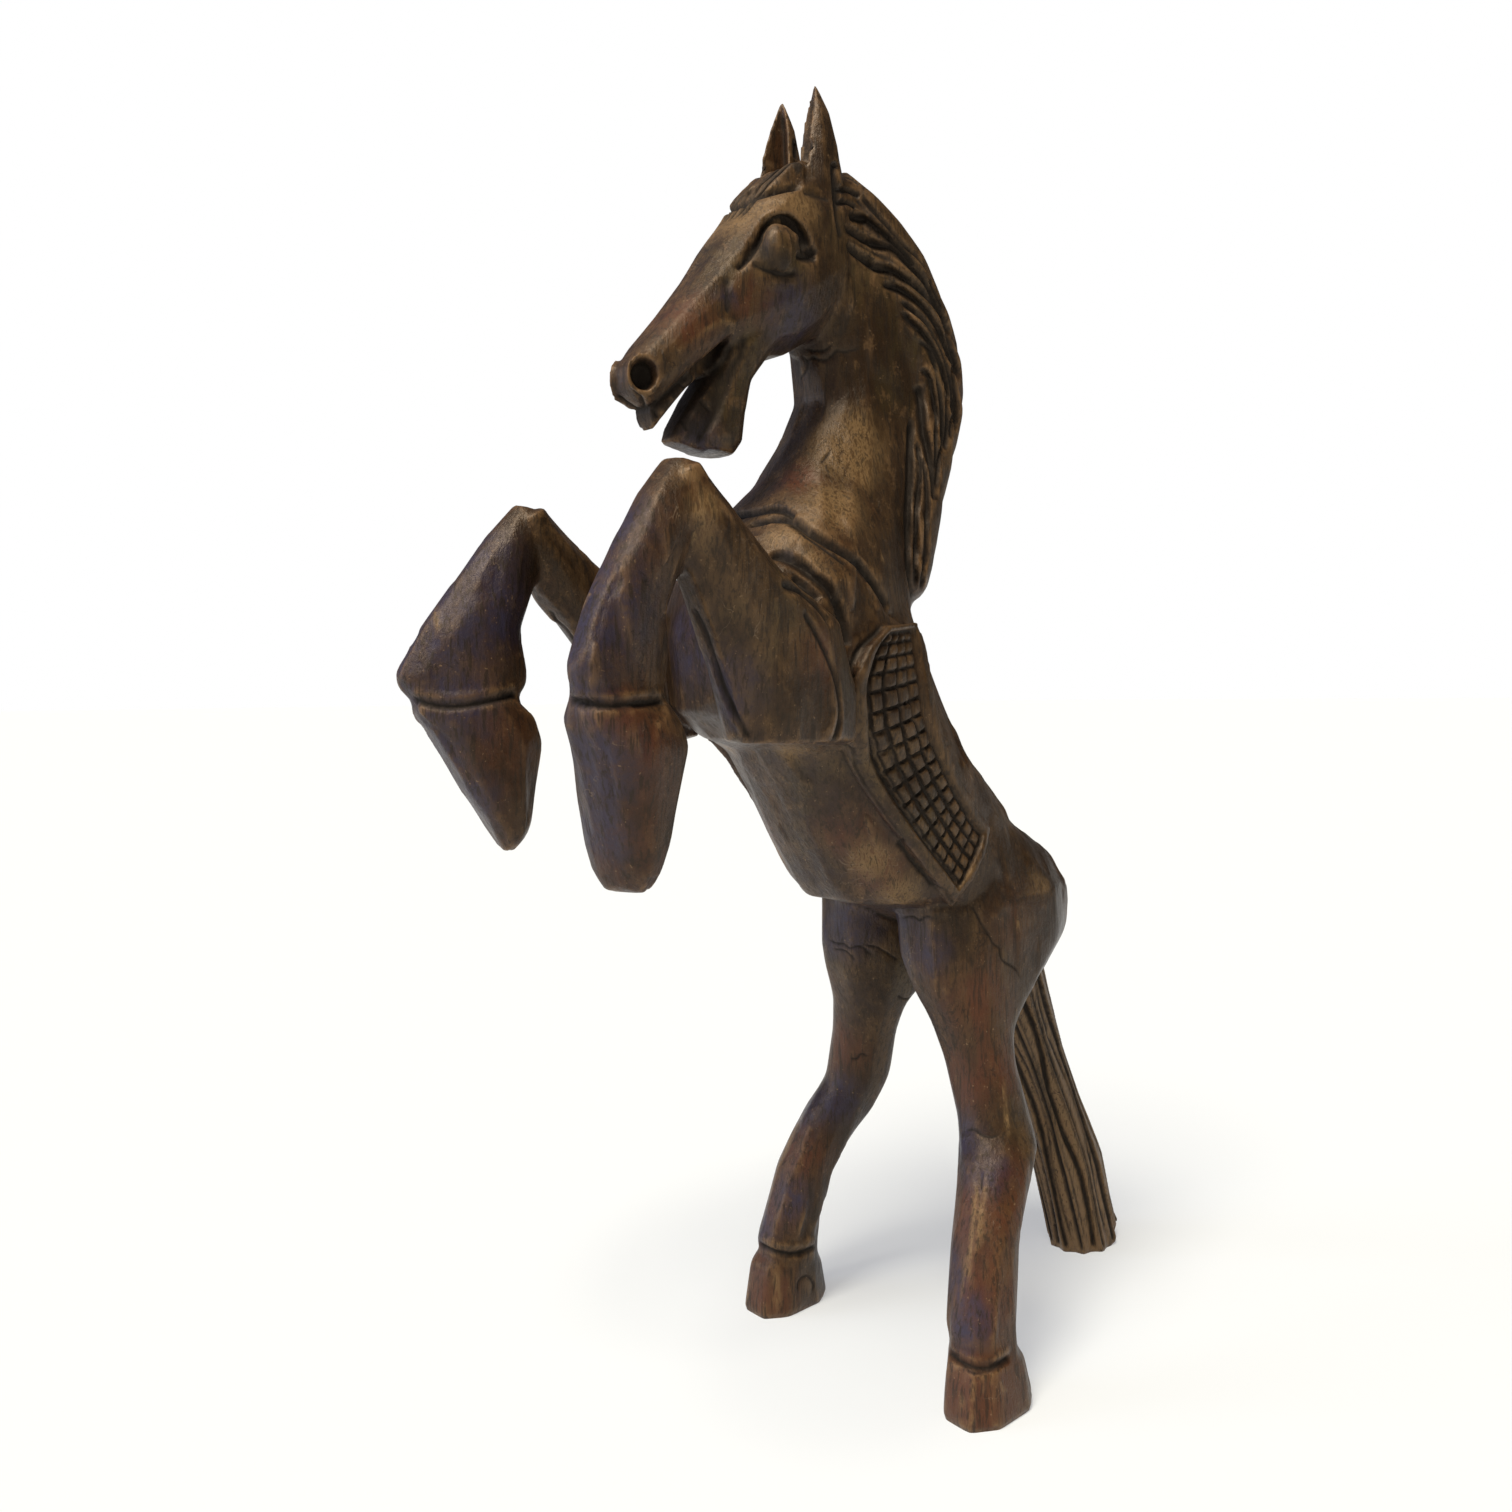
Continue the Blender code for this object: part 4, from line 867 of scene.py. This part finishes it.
marks = {"hollow_shade": hollow_shade, "worn": worn, **tints}
full = KDTree(count)
for index, place in enumerate(points):
    full.insert(place, index)
full.balance()
triangles = sum(len(face.vertices) - 2 for face in horse.data.polygons)
thin = horse.modifiers.new("thin", "DECIMATE")
thin.ratio = min(1.0, MOST_TRIANGLES / triangles)
bake_modifiers(horse)
nearest = np.array([full.find(vertex.co)[1] for vertex in horse.data.vertices])
for name, values in marks.items():
    mark = horse.data.attributes.new(name, "FLOAT", "POINT")
    mark.data.foreach_set("value", values[nearest].astype(np.float32))
horse.data.shade_smooth()
print("triangles", triangles, "->", len(horse.data.polygons))

# %% [markdown]
# ## Dark oiled wood
# The wood is a warm brown under old oil, tan where hands and wear have taken the oil off, and
# reddish in places. Painted shade makes it nearly black in the cuts and hollows and dark on shaded
# places, painted highlights make it tan on brow, nose ridge and neck, and a painted cool reflection
# gives it a bluish cast in others. A picture of wood would show its seams on a carved form, so the
# colour is built up from noise that runs through the whole block, long in the grain's direction, and
# from the marks on the skin.

# %% Helpers for materials
class Recipe:
    """Adds nodes to one material and joins them."""

    def __init__(self, name):
        self.material = bpy.data.materials.new(name)
        self.material.use_nodes = True
        self.nodes, self.links = self.material.node_tree.nodes, self.material.node_tree.links
        self.shader = self.nodes["Principled BSDF"]
        self.place = self.nodes.new("ShaderNodeTexCoord").outputs["Object"]

    def stretched(self, scale, turn=(0, 0, 0)):
        """Object coordinates, stretched and turned for one pattern."""
        mapping = self.nodes.new("ShaderNodeMapping")
        mapping.inputs["Scale"].default_value = scale
        mapping.inputs["Rotation"].default_value = turn
        self.links.new(self.place, mapping.inputs["Vector"])
        return mapping.outputs["Vector"]

    def noise(self, vector, scale, detail=4.0, rough=0.55, warp=0.0):
        node = self.nodes.new("ShaderNodeTexNoise")
        node.inputs["Scale"].default_value = scale
        node.inputs["Detail"].default_value = detail
        node.inputs["Roughness"].default_value = rough
        node.inputs["Distortion"].default_value = warp
        self.links.new(vector, node.inputs["Vector"])
        return node.outputs["Fac"]

    def mark(self, name):
        """A mark that was kept on the skin's points."""
        node = self.nodes.new("ShaderNodeAttribute")
        node.attribute_name = name
        return node.outputs["Fac"]

    def eased(self, value, low, high, out_low=0.0, out_high=1.0):
        """One value below low, another above high, and smooth between."""
        node = self.nodes.new("ShaderNodeMapRange")
        node.interpolation_type = "SMOOTHSTEP"
        limits = {"From Min": low, "From Max": high, "To Min": out_low, "To Max": out_high}
        for socket, number in limits.items():
            node.inputs[socket].default_value = number
        self.links.new(value, node.inputs["Value"])
        return node.outputs["Result"]

    def reckon(self, kind, a, b):
        """Two values put together by the Math node's operation of this kind."""
        node = self.nodes.new("ShaderNodeMath")
        node.operation = kind
        for socket, value in zip(node.inputs, (a, b)):
            if isinstance(value, (int, float)):
                socket.default_value = value
            else:
                self.links.new(value, socket)
        return node.outputs["Value"]

    def times(self, a, b):
        """Two values multiplied."""
        return self.reckon("MULTIPLY", a, b)

    def blend(self, share, under, over):
        """A share of one colour laid over another."""
        node = self.nodes.new("ShaderNodeMix")
        node.data_type = "RGBA"
        for socket, value in ((node.inputs[0], share), (node.inputs[6], under), (node.inputs[7], over)):
            if isinstance(value, tuple):
                socket.default_value = (*value, 1.0)
            else:
                self.links.new(value, socket)
        return node.outputs[2]

    def bump(self, height, strength, distance, under=None):
        node = self.nodes.new("ShaderNodeBump")
        node.inputs["Strength"].default_value = strength
        node.inputs["Distance"].default_value = distance
        self.links.new(height, node.inputs["Height"])
        if under:
            self.links.new(under, node.inputs["Normal"])
        return node.outputs["Normal"]

    def thin_line(self, value, middle, thin):
        """1 where a value is close to its middle, which draws thin lines on noise."""
        gap = self.reckon("ABSOLUTE", self.reckon("SUBTRACT", value, middle), 0)
        return self.eased(gap, 0.0, thin, 1.0, 0.0)


wood = Recipe("dark_oiled_wood")
print("material", wood.material.name)

# %% Patterns that run through the block
clouds = wood.noise(wood.stretched((1, 1, 0.6)), 9, detail=8, rough=0.66)
hue = wood.noise(wood.stretched((1, 1, 0.5), (0.3, 0.5, 0)), 7, detail=5, rough=0.6)
mottle = wood.noise(wood.stretched((1, 1, 0.75)), 80, detail=6, rough=0.72)
grain = wood.noise(wood.stretched((1, 1, 0.11), (0.05, 0.08, 0)), 300, detail=5, rough=0.65, warp=0.2)
streaks = wood.noise(wood.stretched((1, 1, 0.22), (0.04, 0.06, 0)), 70, detail=6, rough=0.62, warp=0.4)
pores = wood.noise(wood.stretched((1, 1, 0.35)), 520, detail=3, rough=0.7)
split = wood.noise(wood.stretched((1, 1, 0.45), (0.1, 0.2, 0)), 38, detail=6, rough=0.6, warp=0.9)
where = wood.noise(wood.place, 13, detail=2)
checks = wood.times(wood.thin_line(split, 0.5, 0.010), wood.eased(where, 0.53, 0.62))
scuff = wood.noise(wood.stretched((1, 0.6, 0.8), (0.6, 0.3, 0.4)), 30, detail=4, rough=0.5, warp=1.2)
scuffs = wood.times(wood.thin_line(scuff, 0.5, 0.006), wood.eased(where, 0.40, 0.32))
dots = wood.noise(wood.place, 380, detail=2)
flecks = wood.times(wood.eased(dots, 0.66, 0.72), wood.eased(mottle, 0.45, 0.6))
print("nodes", len(wood.nodes))

# %% Colour of the wood
red_share = wood.times(wood.mark("reddish"), wood.eased(streaks, 0.35, 0.6, 0.35, 0.85))
painted_shade_share = wood.times(wood.mark("dark"), wood.eased(mottle, 0.38, 0.62, 0.95, 0.5))
cool_sheen_and_shade_share = wood.times(wood.mark("bluish"), wood.eased(mottle, 0.38, 0.62, 0.95, 0.5))
highlight_and_scratch_share = wood.times(wood.mark("pale"), wood.eased(grain, 0.38, 0.6, 0.2, 0.9))
worn_share = wood.times(wood.mark("worn"), wood.eased(mottle, 0.35, 0.6, 0.2, 0.9))
LAYERS = (
    (wood.eased(hue, 0.50, 0.66, 0.0, 0.6), (0.070, 0.026, 0.010)),         # red heartwood
    (wood.eased(hue, 0.46, 0.34, 0.0, 0.5), (0.052, 0.039, 0.015)),         # olive sapwood
    (wood.eased(streaks, 0.47, 0.60, 0.0, 0.65), (0.024, 0.0125, 0.0065)),  # dark years
    (wood.eased(mottle, 0.55, 0.66, 0.0, 0.55), (0.125, 0.070, 0.030)),     # light mottling
    (wood.eased(mottle, 0.46, 0.36, 0.0, 0.7), (0.016, 0.009, 0.005)),      # dark mottling
    (red_share, (0.082, 0.026, 0.011)),
    # painted shade from the dark patches
    (painted_shade_share, (0.017, 0.0075, 0.0032)),
    # painted cool reflection and shade from the bluish patches
    (cool_sheen_and_shade_share, (0.028, 0.024, 0.044)),
    # painted highlights from the pale patches, and pale scratches
    (highlight_and_scratch_share, (0.25, 0.150, 0.062)),
    (worn_share, (0.170, 0.096, 0.042)),
    (wood.eased(grain, 0.51, 0.62, 0.0, 0.7), (0.012, 0.008, 0.005)),
    (wood.eased(pores, 0.62, 0.74, 0.0, 0.5), (0.010, 0.007, 0.005)),
    (wood.times(scuffs, 0.5), (0.20, 0.14, 0.09)),
    (wood.times(flecks, 0.6), (0.24, 0.15, 0.08)),
    (wood.times(checks, 0.85), (0.006, 0.004, 0.003)),
    # painted shade in hollows and cuts, nearly black
    (wood.times(wood.mark("hollow_shade"), 0.95), (0.0045, 0.0035, 0.003)))
colour = wood.blend(wood.eased(clouds, 0.36, 0.64), (0.022, 0.0110, 0.0045), (0.084, 0.046, 0.0185))
for share, paint in LAYERS:
    colour = wood.blend(share, colour, paint)
wood.links.new(colour, wood.shader.inputs["Base Color"])
print("colour layers", len(LAYERS))

# %% Gloss and fine relief of the wood
gloss = wood.reckon("ADD", wood.times(clouds, 0.5), wood.times(grain, 0.5))
# Hollows with painted shade are also rougher
hollow_roughness = wood.times(wood.mark("hollow_shade"), 0.3)
gloss = wood.reckon("ADD", wood.eased(gloss, 0.35, 0.62, 0.30, 0.50), hollow_roughness)
wood.links.new(gloss, wood.shader.inputs["Roughness"])
wood.shader.inputs["Specular IOR Level"].default_value = 0.36
wood.shader.inputs["Specular Tint"].default_value = (1.0, 0.82, 0.64, 1)
relief = wood.bump(grain, 0.45, 0.0010)
relief = wood.bump(mottle, 0.50, 0.0024, relief)
relief = wood.bump(pores, 0.20, 0.0006, relief)
relief = wood.bump(checks, -0.6, 0.0012, relief)
wood.links.new(relief, wood.shader.inputs["Normal"])
horse.data.materials.clear()
horse.data.materials.append(wood.material)
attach(horse, "root")
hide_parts("wooden_horse")
print("wood finished")

# %% [markdown]
# ## Floor and light
# The horse stands on a plain pale floor. Two soft distant lights do the work: a broad warm one
# from above, which brightens the floor and the tops of the forms, and a cool one from the side
# the horse faces. The room round it is dim, cool on that side and warm on the other, so that
# the oiled facets pick up both. The floor glows a little, which keeps the shadow on it pale, and
# only the camera sees the room as white as the floor.

# %% Floor
FLOOR_REACH = 60           # metres, far enough to meet the horizon
FLOOR_GLOW = 0.39

work = bmesh.new()
bmesh.ops.create_circle(work, cap_ends=True, segments=96, radius=FLOOR_REACH)
floor_mesh = bpy.data.meshes.new("floor")
work.to_mesh(floor_mesh)
work.free()
floor = bpy.data.objects.new("floor", floor_mesh)
scene.collection.objects.link(floor)
floor_paint = Recipe("pale_floor")
floor_paint.shader.inputs["Base Color"].default_value = (0.50, 0.53, 0.54, 1)
floor_paint.shader.inputs["Emission Color"].default_value = (1.0, 1.0, 1.0, 1)
floor_paint.shader.inputs["Emission Strength"].default_value = FLOOR_GLOW
floor_paint.shader.inputs["Roughness"].default_value = 1.0
floor_paint.shader.inputs["Specular IOR Level"].default_value = 0.0
floor_mesh.materials.append(floor_paint.material)
print("floor", FLOOR_REACH, "m")

# %% The room
COOL_SIDE = (0.78, -0.62, 0.05)
WARM_ROOM = (0.115, 0.095, 0.068, 1)
COOL_ROOM = (0.18, 0.185, 0.24, 1)
BACKDROP = (1.0, 1.0, 1.0, 1)

world = bpy.data.worlds.new("studio")
scene.world = world
world.use_nodes = True
nodes, links = world.node_tree.nodes, world.node_tree.links
direction = nodes.new("ShaderNodeTexCoord").outputs["Generated"]
along = nodes.new("ShaderNodeVectorMath")
along.operation = "DOT_PRODUCT"
along.inputs[1].default_value = COOL_SIDE
links.new(direction, along.inputs[0])
ramp = nodes.new("ShaderNodeMapRange")
ramp.inputs["From Min"].default_value = -0.9
ramp.inputs["From Max"].default_value = 0.9
links.new(along.outputs["Value"], ramp.inputs["Value"])
tint = nodes.new("ShaderNodeMix")
tint.data_type = "RGBA"
tint.inputs[6].default_value = WARM_ROOM
tint.inputs[7].default_value = COOL_ROOM
links.new(ramp.outputs["Result"], tint.inputs[0])
room = nodes["Background"]
links.new(tint.outputs[2], room.inputs["Color"])
backdrop = nodes.new("ShaderNodeBackground")
backdrop.inputs["Color"].default_value = BACKDROP
choice = nodes.new("ShaderNodeMixShader")
links.new(nodes.new("ShaderNodeLightPath").outputs["Is Camera Ray"], choice.inputs[0])
links.new(room.outputs["Background"], choice.inputs[1])
links.new(backdrop.outputs["Background"], choice.inputs[2])
links.new(choice.outputs["Shader"], nodes["World Output"].inputs["Surface"])
scene.view_settings.view_transform = "Standard"
print("room ready")


# %% Lights
def add_sun(name, energy, spread, colour, direction):
    """A distant light that comes from a direction, spread over some degrees."""
    light = bpy.data.lights.new(name, "SUN")
    light.energy = energy
    light.angle = math.radians(spread)
    light.color = colour
    thing = bpy.data.objects.new(name, light)
    thing.rotation_euler = Vector(direction).to_track_quat("Z", "Y").to_euler()
    scene.collection.objects.link(thing)


add_sun("overhead", 3.9, 26, (1.0, 0.92, 0.80), (0.50, 0.16, 0.85))
add_sun("cool side light", 1.1, 30, (0.66, 0.76, 1.0), (0.80, -0.52, 0.24))
print("lights placed")
